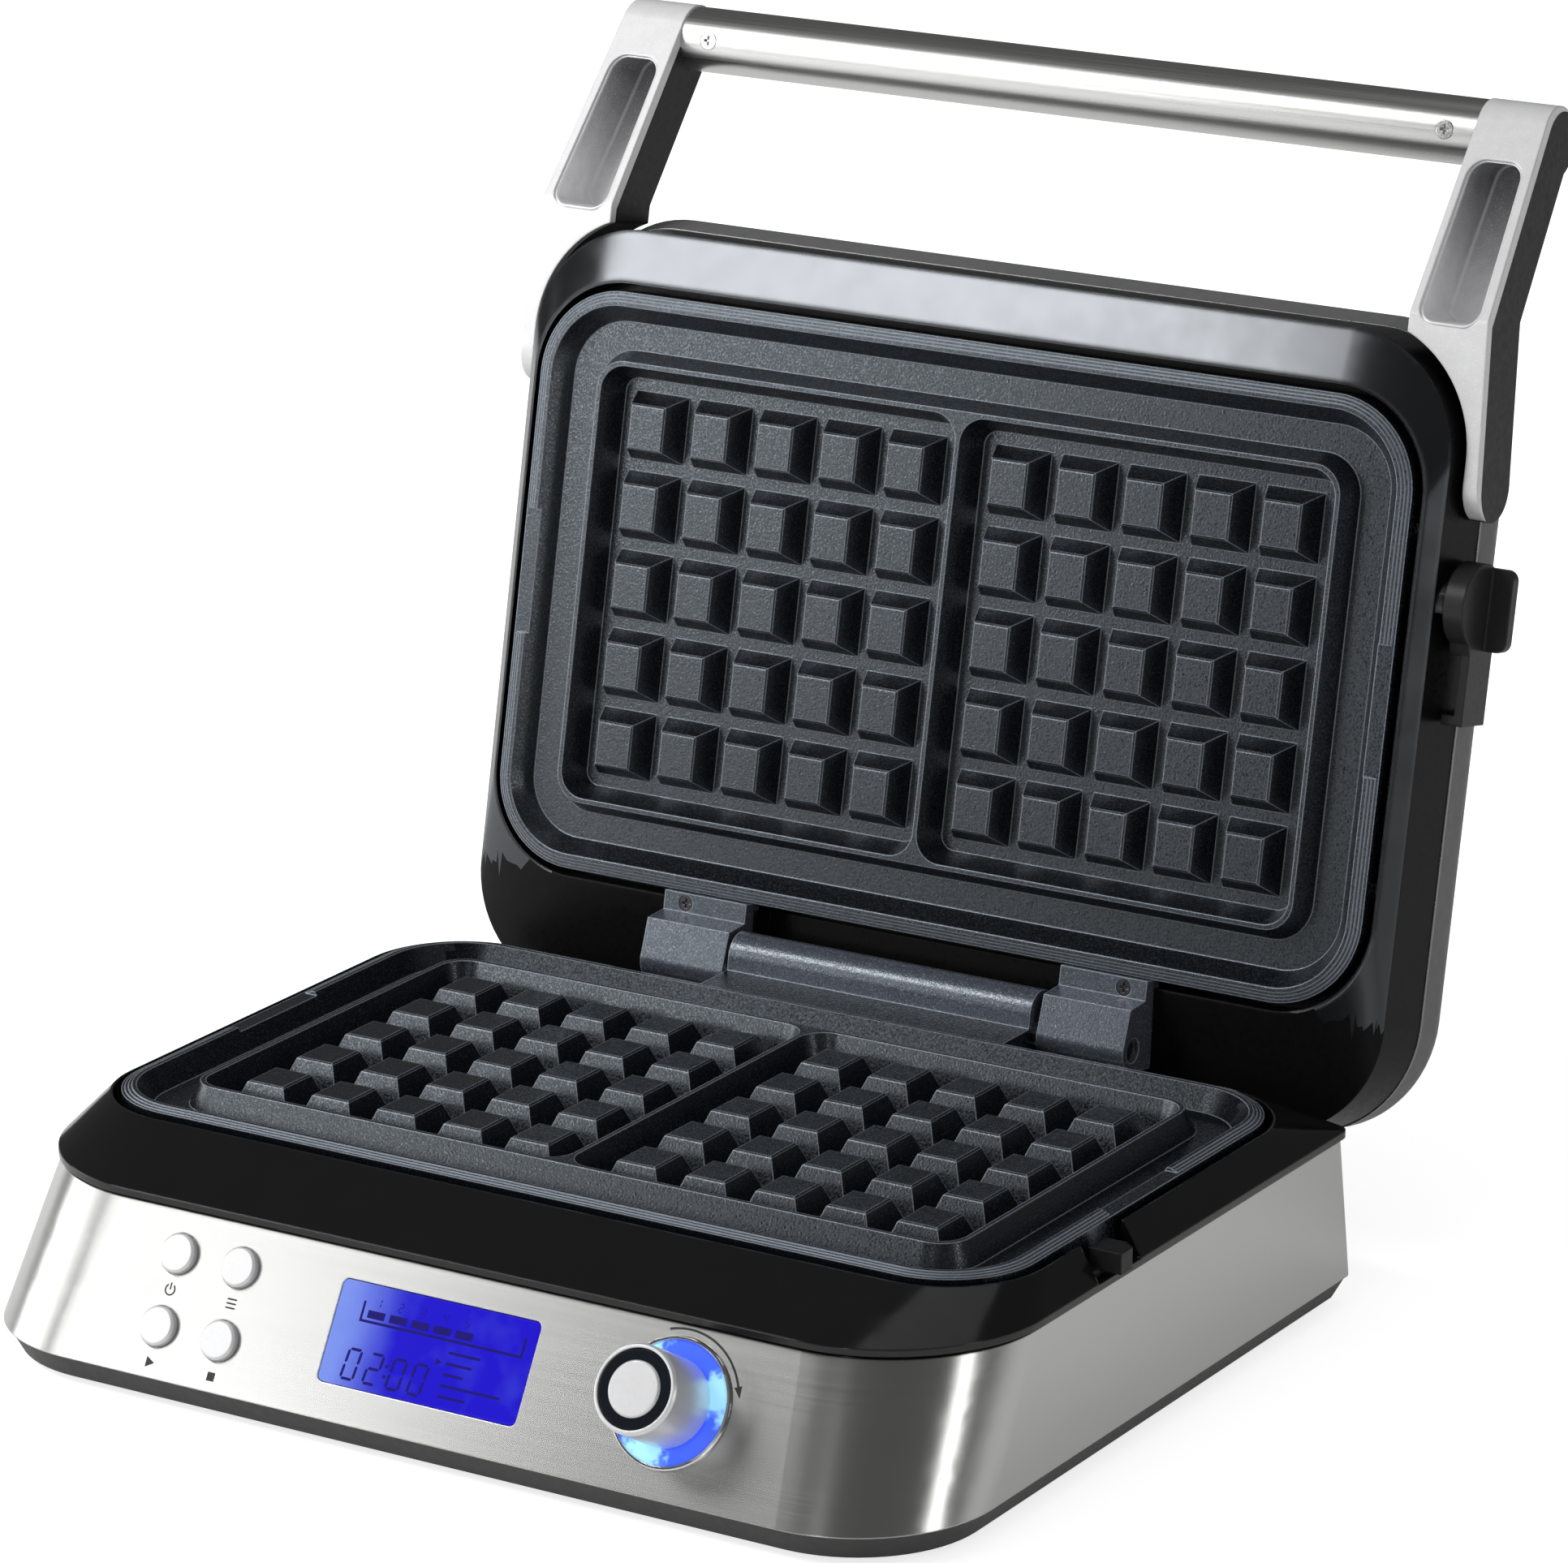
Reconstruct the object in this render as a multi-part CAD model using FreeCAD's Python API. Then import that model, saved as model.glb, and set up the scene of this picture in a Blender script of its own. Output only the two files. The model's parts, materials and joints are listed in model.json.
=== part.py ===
import FreeCAD
import Part
import os
from collections import namedtuple
from math import atan2, cos, degrees, hypot, radians, sin, tan

# Waffle pattern (all sizes in millimetres, stud tops of the lower plate at Z = 0)
STUD_COLUMNS = 5
STUD_ROWS = 5
STUD_PITCH_X = 25.0
STUD_PITCH_Y = 26.8
DIVIDER_PITCH = 39.2
STUD_TOP_X = 12.5
STUD_TOP_Y = 14.0
STUD_BASE_X = 20.8
STUD_BASE_Y = 22.7
STUD_HEIGHT = 9.3
STUD_EDGE_DROP = 0.5
STUD_EDGE_RUN = 0.7
STUD_SINK = 1.0

# Cast plates
RIDGE_MARGIN_X = 19.5
RIDGE_MARGIN_Y = 20.4
RIDGE_TOP = 1.5
RIDGE_RISE = 0.8
RIDGE_RUN = 3.6
RIDGE_CORNER = 9.0
CAVITY_RUN = 3.9
MOAT_X = 20.0
MOAT_Y = 18.9
MOAT_DEPTH = 6.9
RIM_RUN = 5.2
RIM_WIDTH = 4.8
RIM_CORNER = 30.0
RIM_STEPS = 3
RIM_STEP_WIDTH = 1.1
RIM_STEP_DROP = 0.4
RIM_FLAT_HALF = 21.2
PLATE_DEPTH = 14.0
PLATE_GAP = 2.8

# Lid hinge
HINGE_SETBACK = 22.7
HINGE_DROP = 4.0
CLOSED_GAP = 2.5
LID_OPEN_DEG = 101.53
PIN_RADIUS = 4.0
RUNNING_FIT = 0.05
BARREL_HALF = 57.5
BARREL_END_GAP = 2.5
BARREL_RADIUS = 7.5
BARREL_TOP_BACK = 1.1
BARREL_TOP_UP = 6.7
SHELF_TOP = -0.4
SHELF_BOTTOM = -12.5
KNUCKLE_WIDTH = 32.0
KNUCKLE_RADIUS = 6.8
KNUCKLE_SIDE_ROOM = 1.5
EAR_FRONT = 1.8
EAR_TOP_INSET = 0.3
EAR_HEIGHT = 6.6
KNUCKLE_BACK = -6.2
EAR_SCREW_IN = 8.4
EAR_SCREW_DOWN = 3.4
EAR_SCREW_RADIUS = 2.8

# Deck round the lower plate
DECK_SIDE = 7.3
DECK_FRONT = 32.4
DECK_BACK = 15.0
DECK_TOP_Z = -2.3
DECK_EDGE_Z = -13.0
DECK_LIP = 2.2
DECK_CORNER = 53.0
DECK_BACK_CORNER = 6.0
DECK_WALL = 2.6
SPIGOT_INSET = 3.4
SPIGOT_DEPTH = 4.5
LEDGE_WIDTH = 9.0
LEDGE_THICK = 3.0
BOSS_RADIUS = 4.4
BOSS_Y = 58.0

# Steel skirt and rear panel
SKIRT_GAP = 1.3
SKIRT_HEIGHT = 45.5
SKIRT_THICK = 1.0
SKIRT_SIDE_INSET = 1.8
SKIRT_FRONT_INSET = 1.5
SKIRT_SIDE_SPREAD = 2.8
SKIRT_FRONT_SPREAD = 25.9
SKIRT_BACK_SPREAD = 2.4
SKIRT_TOP_CORNER = 50.0
SKIRT_BOTTOM_CORNER = 46.0
REAR_THICK = 2.4
REAR_MARGIN = 14.0
REAR_FLANGE = 6.0
SEAT_FIT = 0.3
VENT_COUNT = 9
VENT_PITCH = 9.0
VENT_WIDTH = 3.0
VENT_HEIGHT = 20.0
GLAND_X = 118.0
GLAND_UP = 15.0
GLAND_RADIUS = 8.0
GLAND_BORE = 3.8

# Tray and feet
TRAY_DEPTH = 8.0
TRAY_INSET = 5.2
TRAY_LEDGE_INSET = 0.7
TRAY_FLOOR = 3.0
TRAY_WALL = 2.5
TRAY_WALL_HEIGHT = 4.0
FOOT_RADIUS = 9.0
FOOT_HEIGHT = 2.5
FOOT_PLUG_RADIUS = 4.0
FOOT_PLUG = 3.0
FOOT_X = 140.0
FOOT_FRONT = 115.0
FOOT_BACK = 100.0
SCREW_RADIUS = 1.75
SCREW_HEAD_RADIUS = 3.4
SCREW_HEAD = 1.9
SCREW_LENGTH = 16.0
CROSS_REACH = 1.6
CROSS_WIDTH = 0.8
CROSS_DEPTH = 1.0

# Latch
CATCH_NOTCH_FRONT = 47.0
CATCH_NOTCH_BACK = 21.0
CATCH_NOSE_FRONT = 41.0
CATCH_NOSE_BACK = 31.0
CATCH_NOSE_REACH = 4.0
CATCH_NOSE_TOP = -4.5
CATCH_NOSE_BOTTOM = -11.2
LEVER_T = 36.0
LEVER_N = -21.0
LEVER_GAP = 1.0
LEVER_THICK = 7.0
LEVER_ARM_THICK = 3.0
LEVER_HUB_RADIUS = 13.6
LEVER_NECK = 10.9
LEVER_STEP = 16.0
LEVER_HOOK_NEAR = 35.2
LEVER_HOOK_FAR = 38.4
LEVER_HOOK_TUCK = 0.3
LEVER_ARM_FRONT = 4.7
LEVER_ARM_BACK = 11.4
LEVER_WING_REACH = 7.5
LEVER_WING_LOW = 14.5
LEVER_WING_HIGH = 12.0
LEVER_WING_THICK = 4.0
LEVER_WING_CORNER = 3.5
LEVER_PIN_RADIUS = 3.0
LEVER_PIN_IN = 8.0
LEVER_PIN_OUT = 6.4
LEVER_BOSS_RADIUS = 12.0
LEVER_BOSS_FLAT = 3.0

# Heaters under the plates
HEATER_RADIUS = 3.2
HEATER_GAP = 0.1
HEATER_X = 118.0
HEATER_Y = 48.0
HEATER_BEND = 30.0
PAN_INSET = 12.0
PAN_FLANGE = 7.0
PAN_DEPTH = 14.0
SHEET = 1.0
SENSOR_RADIUS = 6.0
SENSOR_HEIGHT = 5.0

# Front panel controls, in the plane of the leaning front
BUTTON_X = -97.2
BUTTON_PITCH = 23.0
BUTTON_LOW = 16.0
BUTTON_RADIUS = 6.2
BUTTON_HOLE_FIT = 0.5
BUTTON_PROUD = 2.5
BUTTON_EDGE = 0.7
BUTTON_FLANGE = 1.4
BUTTON_FLANGE_THICK = 1.5
BUTTON_STEM_RADIUS = 2.2
BUTTON_TRAVEL = 1.5
MOVING_GAP = 0.35
SWITCH_SIZE = 6.0
SWITCH_BODY = 3.5
SWITCH_PLUNGER = 1.0
WINDOW_LEFT = -36.9
WINDOW_WIDTH = 71.3
WINDOW_LOW = 11.5
WINDOW_HEIGHT = 31.8
WINDOW_CORNER = 2.0
WINDOW_FIT = 0.25
WINDOW_THICK = 1.4
WINDOW_PROUD = 0.3
KNOB_X = 84.4
KNOB_UP = 28.8
KNOB_RADIUS = 13.75
KNOB_LIFT = 1.6
KNOB_LENGTH = 21.4
KNOB_EDGE = 1.0
KNOB_EDGE_RUN = 0.6
KNOB_RING_OUT = 12.3
KNOB_CAP_RADIUS = 8.6
KNOB_FACE_DEPTH = 1.6
KNOB_RING_SINK = 0.5
KNOB_CAP_PROUD = 0.4
KNOB_CAVITY = 11.6
KNOB_CAVITY_DEPTH = 14.0
KNOB_POST = 5.5
SHAFT_RADIUS = 3.0
SHAFT_UP = 12.0
LIGHT_RING_IN = 9.5
LIGHT_RING_OUT = 19.0
LIGHT_RING_PROUD = 0.7
BEZEL_WIDTH = 1.2
BEZEL_PROUD = 1.0
CARRIER_LEFT = -114.0
CARRIER_RIGHT = 112.0
CARRIER_LOW = 7.5
CARRIER_HIGH = 46.0
CARRIER_DEPTH = 10.5
BOARD_THICK = 1.6
ENCODER_SIZE = 13.0
ENCODER_BODY = 6.0
ENCODER_BUSH = 4.6

# Power board on posts of the tray
POWER_X = -40.0
POWER_Y = 20.0
POWER_LONG = 90.0
POWER_WIDE = 55.0
POWER_POST = 4.0
RELAY_EDGE = 4.0
CAN_ALONG = 63.0
POWER_POST_RADIUS = 3.5

# Lid, in lid coordinates: X across, T from hinge to free edge, N out of the plate face
LID_FACE_N = -3.0
LID_EDGE_N = -8.2
LID_SEAM_N = -30.0
LID_BACK_N = -50.0
LID_FLARE_N = -40.0
LID_SIDE = 5.8
LID_SIDE_FLARE = 2.2
LID_FREE = 20.6
LID_FREE_FLARE = 0.6
LID_TAIL = 19.6
LID_TAIL_FLARE = 2.0
LID_EDGE_CORNER = 39.0
LID_COVER_SIDE = 0.4
LID_COVER_FREE = 3.3
LID_WALL = 3.0
LID_BACK_WALL = 2.2
LID_BACK_ROUND = 9.0
LID_FACE_MARGIN = 0.8
LID_TRIM = 1.0
LID_TRIM_PROUD = 0.3
SLOT_END_GAP = 1.3
SLOT_FLOOR_N = -12.0

# Handle
TUBE_RADIUS = 11.0
TUBE_WALL = 1.5
TUBE_UP = 60.5
TUBE_N = -56.4
TUBE_FIT = 0.1
TUBE_SPIGOT = 22.0
TUBE_SCREW_IN = 11.1
TUBE_SCREW_RADIUS = 3.2
ARM_INNER_X = 150.0
ARM_FRONT_N = -13.0
ARM_SLOPE_DEG = 27.9
ARM_END_RADIUS = 11.5
ARM_BACK_OFFSET = 9.7
ARM_LOW_T = 62.0
ARM_LOW_N = -37.0
ARM_LOW_REACH = 6.0
ARM_TAPER_DEG = 3.23
ARM_FACE_THICK = 3.6
ARM_LID_FIT = 0.3
ARM_SIDE_INSET = 0.3
POCKET_INNER_WALL = 2.6
POCKET_OUTER_WALL = 3.0
POCKET_LOW_T = 122.6
POCKET_HIGH_T = 175.0
POCKET_CORNER = 6.0
POCKET_DEPTH = 21.6
LINER_WALL = 0.8
LINER_SINK = 0.8
ARM_SCREW_RADIUS = 2.0
ARM_SCREW_LOW_T = 66.0
ARM_SCREW_HIGH_T = 76.0
ARM_SCREW_N = -23.0

CUT_EXTRA = 1.0
MIN_CORNER = 0.5
FAR = 400.0

# Values that follow from the ones above
STUD_X_LAST = DIVIDER_PITCH / 2 + (STUD_COLUMNS - 1) * STUD_PITCH_X
STUD_Y_LAST = (STUD_ROWS - 1) * STUD_PITCH_Y / 2
RIDGE_X = STUD_X_LAST + RIDGE_MARGIN_X
RIDGE_Y = STUD_Y_LAST + RIDGE_MARGIN_Y
PLATE_X = RIDGE_X + MOAT_X + RIM_WIDTH
PLATE_Y = RIDGE_Y + MOAT_Y + RIM_WIDTH
OPENING_X = PLATE_X + PLATE_GAP
OPENING_Y = PLATE_Y + PLATE_GAP
OPENING_CORNER = RIM_CORNER + PLATE_GAP
HINGE_Y = PLATE_Y + HINGE_SETBACK
HINGE_Z = -HINGE_DROP
HINGE_T = -HINGE_Y
HINGE_N = CLOSED_GAP + HINGE_DROP
KNUCKLE_IN = BARREL_HALF + BARREL_END_GAP
KNUCKLE_OUT = KNUCKLE_IN + KNUCKLE_WIDTH
EAR_SCREW_X = KNUCKLE_OUT - EAR_SCREW_IN
SLOT_HALF = BARREL_HALF + SLOT_END_GAP
PLATE_BOTTOM = -PLATE_DEPTH
DECK_LIP_Z = DECK_EDGE_Z - DECK_LIP
SPIGOT_Z = DECK_LIP_Z - SPIGOT_DEPTH
LEDGE_Z = PLATE_BOTTOM - LEDGE_THICK
SKIRT_TOP_Z = DECK_LIP_Z - SKIRT_GAP
SKIRT_BOTTOM_Z = SKIRT_TOP_Z - SKIRT_HEIGHT
TRAY_BOTTOM_Z = SKIRT_BOTTOM_Z - TRAY_DEPTH
TRAY_FLOOR_Z = TRAY_BOTTOM_Z + TRAY_FLOOR
BOARD_FRONT = -SKIRT_THICK - CARRIER_DEPTH

Outline = namedtuple("Outline", "x0 x1 y0 y1 r0 r1")


def vec(x, y, z):
    return FreeCAD.Vector(x, y, z)


X_AXIS = vec(1, 0, 0)
Z_AXIS = vec(0, 0, 1)


# Outlines and simple solids


def centred(half, y0, y1, r0, r1):
    return Outline(-half, half, y0, y1, r0, r1)


def grown(o, d):
    r0 = max(o.r0 + d, MIN_CORNER)
    r1 = max(o.r1 + d, MIN_CORNER)
    return Outline(o.x0 - d, o.x1 + d, o.y0 - d, o.y1 + d, r0, r1)


def between(o0, z0, o1, z1, z):
    """Outline at height z on the straight run from o0 at z0 to o1 at z1, inside or beyond it."""
    share = (z - z0) / (z1 - z0)
    return Outline(*[a + (b - a) * share for a, b in zip(o0, o1)])


def wire(o, z):
    """Closed rounded rectangle in the plane at height z."""
    corners = [
        (o.x1 - o.r1, o.y1 - o.r1, o.r1, 0),
        (o.x0 + o.r1, o.y1 - o.r1, o.r1, 90),
        (o.x0 + o.r0, o.y0 + o.r0, o.r0, 180),
        (o.x1 - o.r0, o.y0 + o.r0, o.r0, 270),
    ]
    arcs = []
    for cx, cy, r, start in corners:
        angles = [radians(start), radians(start + 45), radians(start + 90)]
        arcs.append([vec(cx + r * cos(a), cy + r * sin(a), z) for a in angles])
    edges = []
    for points, following in zip(arcs, arcs[1:] + arcs[:1]):
        edges.append(Part.Arc(*points).toShape())
        edges.append(Part.makeLine(points[2], following[0]))
    return Part.Wire(edges)


def prism(o, z0, z1):
    return Part.Face(wire(o, z0)).extrude(vec(0, 0, z1 - z0))


def taper(o0, z0, o1, z1):
    return Part.makeLoft([wire(o0, z0), wire(o1, z1)], True, True)


def box(x0, x1, y0, y1, z0, z1):
    return Part.makeBox(x1 - x0, y1 - y0, z1 - z0, vec(x0, y0, z0))


def cylinder_x(r, x0, x1, y, z):
    return Part.makeCylinder(r, x1 - x0, vec(x0, y, z), X_AXIS)


def cylinder_z(r, x, y, z0, z1):
    return Part.makeCylinder(r, z1 - z0, vec(x, y, z0), Z_AXIS)


def side_prism(points, x0, x1):
    """Polygon in the Y, Z plane run along X."""
    corners = [vec(x0, y, z) for y, z in points]
    return Part.Face(Part.makePolygon(corners + corners[:1])).extrude(vec(x1 - x0, 0, 0))


def flat_prism(points, z0, z1):
    """Polygon in the X, Y plane run along Z."""
    corners = [vec(x, y, z0) for x, y in points]
    return Part.Face(Part.makePolygon(corners + corners[:1])).extrude(vec(0, 0, z1 - z0))


def revolved(points, x, y):
    """Closed profile of (radius, height) points turned about the upright line through x, y."""
    corners = [vec(x + r, y, z) for r, z in points]
    face = Part.Face(Part.makePolygon(corners + corners[:1]))
    return face.revolve(vec(x, y, 0), Z_AXIS, 360)


def fused(shapes):
    return shapes[0].multiFuse(shapes[1:]).removeSplitter()


def mirrored(shape):
    return shape.mirror(vec(0, 0, 0), X_AXIS)


def one_each_side(shape):
    return [shape, mirrored(shape)]


def edges_where(shape, test):
    return [e for e in shape.Edges if all(test(v.Point) for v in e.Vertexes)]


def upright_edges(shape):
    picked = []
    for edge in shape.Edges:
        start, end = [v.Point for v in edge.Vertexes]
        if hypot(start.x - end.x, start.y - end.y) < 1e-6:
            picked.append(edge)
    return picked


def cross_recess(x, y, z0, z1):
    """Cross-shaped driver socket in a screw head."""
    half = CROSS_WIDTH / 2
    along = box(x - CROSS_REACH, x + CROSS_REACH, y - half, y + half, z0, z1)
    across = box(x - half, x + half, y - CROSS_REACH, y + CROSS_REACH, z0, z1)
    return along.fuse(across)


# Outlines shared by several pieces

OPENING = centred(OPENING_X, -OPENING_Y, OPENING_Y, OPENING_CORNER, OPENING_CORNER)
LEDGE_WINDOW = grown(OPENING, -LEDGE_WIDTH)
DECK_EDGE = centred(
    OPENING_X + DECK_SIDE, -OPENING_Y - DECK_FRONT, OPENING_Y + DECK_BACK, DECK_CORNER, DECK_BACK_CORNER
)
SKIRT_TOP = centred(
    DECK_EDGE.x1 - SKIRT_SIDE_INSET,
    DECK_EDGE.y0 + SKIRT_FRONT_INSET,
    DECK_EDGE.y1,
    SKIRT_TOP_CORNER,
    DECK_BACK_CORNER,
)
SKIRT_BOTTOM = centred(
    SKIRT_TOP.x1 + SKIRT_SIDE_SPREAD,
    SKIRT_TOP.y0 - SKIRT_FRONT_SPREAD,
    SKIRT_TOP.y1 + SKIRT_BACK_SPREAD,
    SKIRT_BOTTOM_CORNER,
    DECK_BACK_CORNER,
)
LID_EDGE = centred(
    OPENING_X + LID_SIDE, HINGE_T - LID_TAIL, PLATE_Y + LID_FREE, LID_EDGE_CORNER, LID_EDGE_CORNER
)
LID_SEAM = centred(
    LID_EDGE.x1 + LID_SIDE_FLARE,
    LID_EDGE.y0 - LID_TAIL_FLARE,
    LID_EDGE.y1 + LID_FREE_FLARE,
    LID_EDGE_CORNER + LID_SIDE_FLARE,
    LID_EDGE_CORNER + LID_SIDE_FLARE,
)
LID_FLARE = centred(
    LID_SEAM.x1 + LID_COVER_SIDE, LID_SEAM.y0, LID_SEAM.y1 + LID_COVER_FREE, LID_SEAM.r0, LID_SEAM.r1
)

REAR_HALF = SKIRT_TOP.x1 - REAR_MARGIN

LID_CLOSED = FreeCAD.Placement(vec(0, 0, CLOSED_GAP), FreeCAD.Rotation(X_AXIS, 180))
LID_SWING = FreeCAD.Placement(
    vec(0, 0, 0), FreeCAD.Rotation(X_AXIS, -LID_OPEN_DEG), vec(0, HINGE_Y, HINGE_Z)
)
LID_PLACE = LID_SWING.multiply(LID_CLOSED)
PANEL_DEG = degrees(atan2(SKIRT_HEIGHT, SKIRT_FRONT_SPREAD))
PANEL_PLACE = FreeCAD.Placement(
    vec(0, SKIRT_BOTTOM.y0, SKIRT_BOTTOM_Z), FreeCAD.Rotation(X_AXIS, PANEL_DEG)
)


def skirt_outline(z):
    return between(SKIRT_BOTTOM, SKIRT_BOTTOM_Z, SKIRT_TOP, SKIRT_TOP_Z, z)


def placed(shape, placement):
    moved = shape.copy()
    moved.Placement = placement.multiply(shape.Placement)
    return moved


# Cast plates, studs up


def stud(x, y):
    """Four-sided pyramid frustum with a small edge break at its top, sunk a little into the floor."""
    slope_x = (STUD_BASE_X - STUD_TOP_X) / 2 / STUD_HEIGHT
    slope_y = (STUD_BASE_Y - STUD_TOP_Y) / 2 / STUD_HEIGHT
    sections = [
        (
            STUD_BASE_X / 2 + slope_x * STUD_SINK,
            STUD_BASE_Y / 2 + slope_y * STUD_SINK,
            -STUD_HEIGHT - STUD_SINK,
        ),
        (STUD_TOP_X / 2 + STUD_EDGE_RUN, STUD_TOP_Y / 2 + STUD_EDGE_RUN, -STUD_EDGE_DROP),
        (STUD_TOP_X / 2, STUD_TOP_Y / 2, 0),
    ]
    loops = []
    for half_x, half_y, z in sections:
        signs = [(-1, -1), (1, -1), (1, 1), (-1, 1), (-1, -1)]
        loops.append(Part.makePolygon([vec(x + sx * half_x, y + sy * half_y, z) for sx, sy in signs]))
    return Part.makeLoft(loops, True, True)


def cavity(side):
    """Sunken field on one side of the divider, open at the top."""
    inner = RIDGE_TOP / 2
    outer = RIDGE_X - RIDGE_TOP / 2
    depth_y = RIDGE_Y - RIDGE_TOP / 2
    x0, x1 = sorted([side * inner, side * outer])
    top = Outline(x0, x1, -depth_y, depth_y, RIDGE_CORNER, RIDGE_CORNER)
    floor = grown(top, -CAVITY_RUN)
    high = RIDGE_RISE + CUT_EXTRA
    return taper(floor, -STUD_HEIGHT, between(floor, -STUD_HEIGHT, top, RIDGE_RISE, high), high)


def waffle_plate():
    """Stepped rim with a plain stretch at each side, overflow moat, ridge round two stud fields."""
    outer = centred(PLATE_X, -PLATE_Y, PLATE_Y, RIM_CORNER, RIM_CORNER)
    rim = grown(outer, -RIM_WIDTH)
    levels = [PLATE_BOTTOM] + [-RIM_STEP_DROP * (RIM_STEPS - i) for i in range(RIM_STEPS + 1)]
    layers = []
    for i in range(RIM_STEPS + 1):
        layers.append(prism(grown(outer, -i * RIM_STEP_WIDTH), levels[i], levels[i + 1]))
    block = fused(layers)
    moat = grown(rim, -RIM_RUN)
    dish = taper(moat, -MOAT_DEPTH, between(moat, -MOAT_DEPTH, rim, 0, CUT_EXTRA), CUT_EXTRA)
    ridge = centred(RIDGE_X, -RIDGE_Y, RIDGE_Y, RIDGE_CORNER, RIDGE_CORNER)
    ridge_top = grown(ridge, RIDGE_TOP / 2)
    ridge_foot = grown(ridge_top, RIDGE_RUN)
    low = -MOAT_DEPTH - CUT_EXTRA
    foot = between(ridge_foot, -MOAT_DEPTH, ridge_top, RIDGE_RISE, low)
    island = taper(foot, low, ridge_top, RIDGE_RISE)
    plate = block.cut(dish).fuse(island).cut(cavity(-1)).cut(cavity(1))
    studs = []
    for column in range(STUD_COLUMNS):
        for row in range(STUD_ROWS):
            x = DIVIDER_PITCH / 2 + column * STUD_PITCH_X
            y = row * STUD_PITCH_Y - STUD_Y_LAST
            studs.extend([stud(x, y), stud(-x, y)])
    plate = plate.multiFuse(studs)
    flat_in = PLATE_X - RIM_WIDTH - RIM_RUN / 2
    flat_low = -RIM_STEPS * RIM_STEP_DROP
    flat = box(flat_in, PLATE_X + CUT_EXTRA, -RIM_FLAT_HALF, RIM_FLAT_HALF, flat_low, CUT_EXTRA)
    return plate.cut(Part.makeCompound(one_each_side(flat))).removeSplitter()


def hinge_barrel():
    """Fixed part of the hinge: a round-topped casting that holds the pin, with its shelf."""
    top_y = HINGE_Y + BARREL_TOP_BACK
    top_z = HINGE_Z + BARREL_TOP_UP
    length = hypot(BARREL_TOP_BACK, BARREL_TOP_UP)
    across = (BARREL_RADIUS * BARREL_TOP_UP / length, BARREL_RADIUS * BARREL_TOP_BACK / length)
    web = side_prism(
        [
            (HINGE_Y - across[0], HINGE_Z + across[1]),
            (HINGE_Y + across[0], HINGE_Z - across[1]),
            (top_y + across[0], top_z - across[1]),
            (top_y - across[0], top_z + across[1]),
        ],
        -BARREL_HALF,
        BARREL_HALF,
    )
    low = cylinder_x(BARREL_RADIUS, -BARREL_HALF, BARREL_HALF, HINGE_Y, HINGE_Z)
    high = cylinder_x(BARREL_RADIUS, -BARREL_HALF, BARREL_HALF, top_y, top_z)
    shelf_front = PLATE_Y - RIM_WIDTH / 2
    shelf_top = SHELF_TOP - RIM_STEP_DROP
    shelf = box(-BARREL_HALF, BARREL_HALF, shelf_front, HINGE_Y, SHELF_BOTTOM, shelf_top)
    return fused([web, low, high, shelf])


def lower_plate():
    rim_room = box(-FAR, FAR, -FAR, PLATE_Y - RIM_WIDTH, -FAR, FAR)
    plate = waffle_plate().fuse(hinge_barrel().cut(rim_room)).removeSplitter()
    return plate.cut(cylinder_x(PIN_RADIUS, -FAR, FAR, HINGE_Y, HINGE_Z))


def heater():
    """Tubular element bent to a U under the plate."""
    z = PLATE_BOTTOM - HEATER_GAP - HEATER_RADIUS
    x0 = -HEATER_X
    x1 = HEATER_X
    r = HEATER_BEND
    turn = r * (1 - cos(radians(45)))
    path = [
        Part.makeLine(vec(x1, -HEATER_Y, z), vec(x0 + r, -HEATER_Y, z)),
        Part.Arc(
            vec(x0 + r, -HEATER_Y, z), vec(x0 + turn, -HEATER_Y + turn, z), vec(x0, -HEATER_Y + r, z)
        ).toShape(),
        Part.makeLine(vec(x0, -HEATER_Y + r, z), vec(x0, HEATER_Y - r, z)),
        Part.Arc(
            vec(x0, HEATER_Y - r, z), vec(x0 + turn, HEATER_Y - turn, z), vec(x0 + r, HEATER_Y, z)
        ).toShape(),
        Part.makeLine(vec(x0 + r, HEATER_Y, z), vec(x1, HEATER_Y, z)),
    ]
    ring = Part.makeCircle(HEATER_RADIUS, vec(x1, -HEATER_Y, z), X_AXIS)
    return Part.Wire(path).makePipeShell([Part.Wire([ring])], True, True)


def reflector_pan():
    flange = grown(OPENING, -PAN_INSET)
    body = grown(flange, -PAN_FLANGE)
    top = PLATE_BOTTOM
    pan = fused([prism(flange, top - SHEET, top), prism(body, top - PAN_DEPTH, top - SHEET)])
    return pan.cut(prism(grown(body, -SHEET), top - PAN_DEPTH + SHEET, top + CUT_EXTRA))


def sensor():
    return cylinder_z(SENSOR_RADIUS, 0, 0, PLATE_BOTTOM - SENSOR_HEIGHT, PLATE_BOTTOM)


# Base shell


def boss_places():
    """Screw bosses of the base and of the lid, which lie over each other when it is closed."""
    x = OPENING_X - LEDGE_WIDTH / 2
    return [(sx * x, sy * BOSS_Y) for sx in (-1, 1) for sy in (-1, 1)]


def knuckle_room():
    """Room in the deck behind the lower plate for the hinge castings."""
    half = KNUCKLE_OUT + KNUCKLE_SIDE_ROOM
    return box(-half, half, PLATE_Y + PLATE_GAP / 2, FAR, PLATE_BOTTOM, FAR)


def catch_notch(fit):
    return box(
        OPENING_X + fit, FAR, -CATCH_NOTCH_FRONT + fit, -CATCH_NOTCH_BACK - fit, DECK_EDGE_Z, FAR
    )


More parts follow.
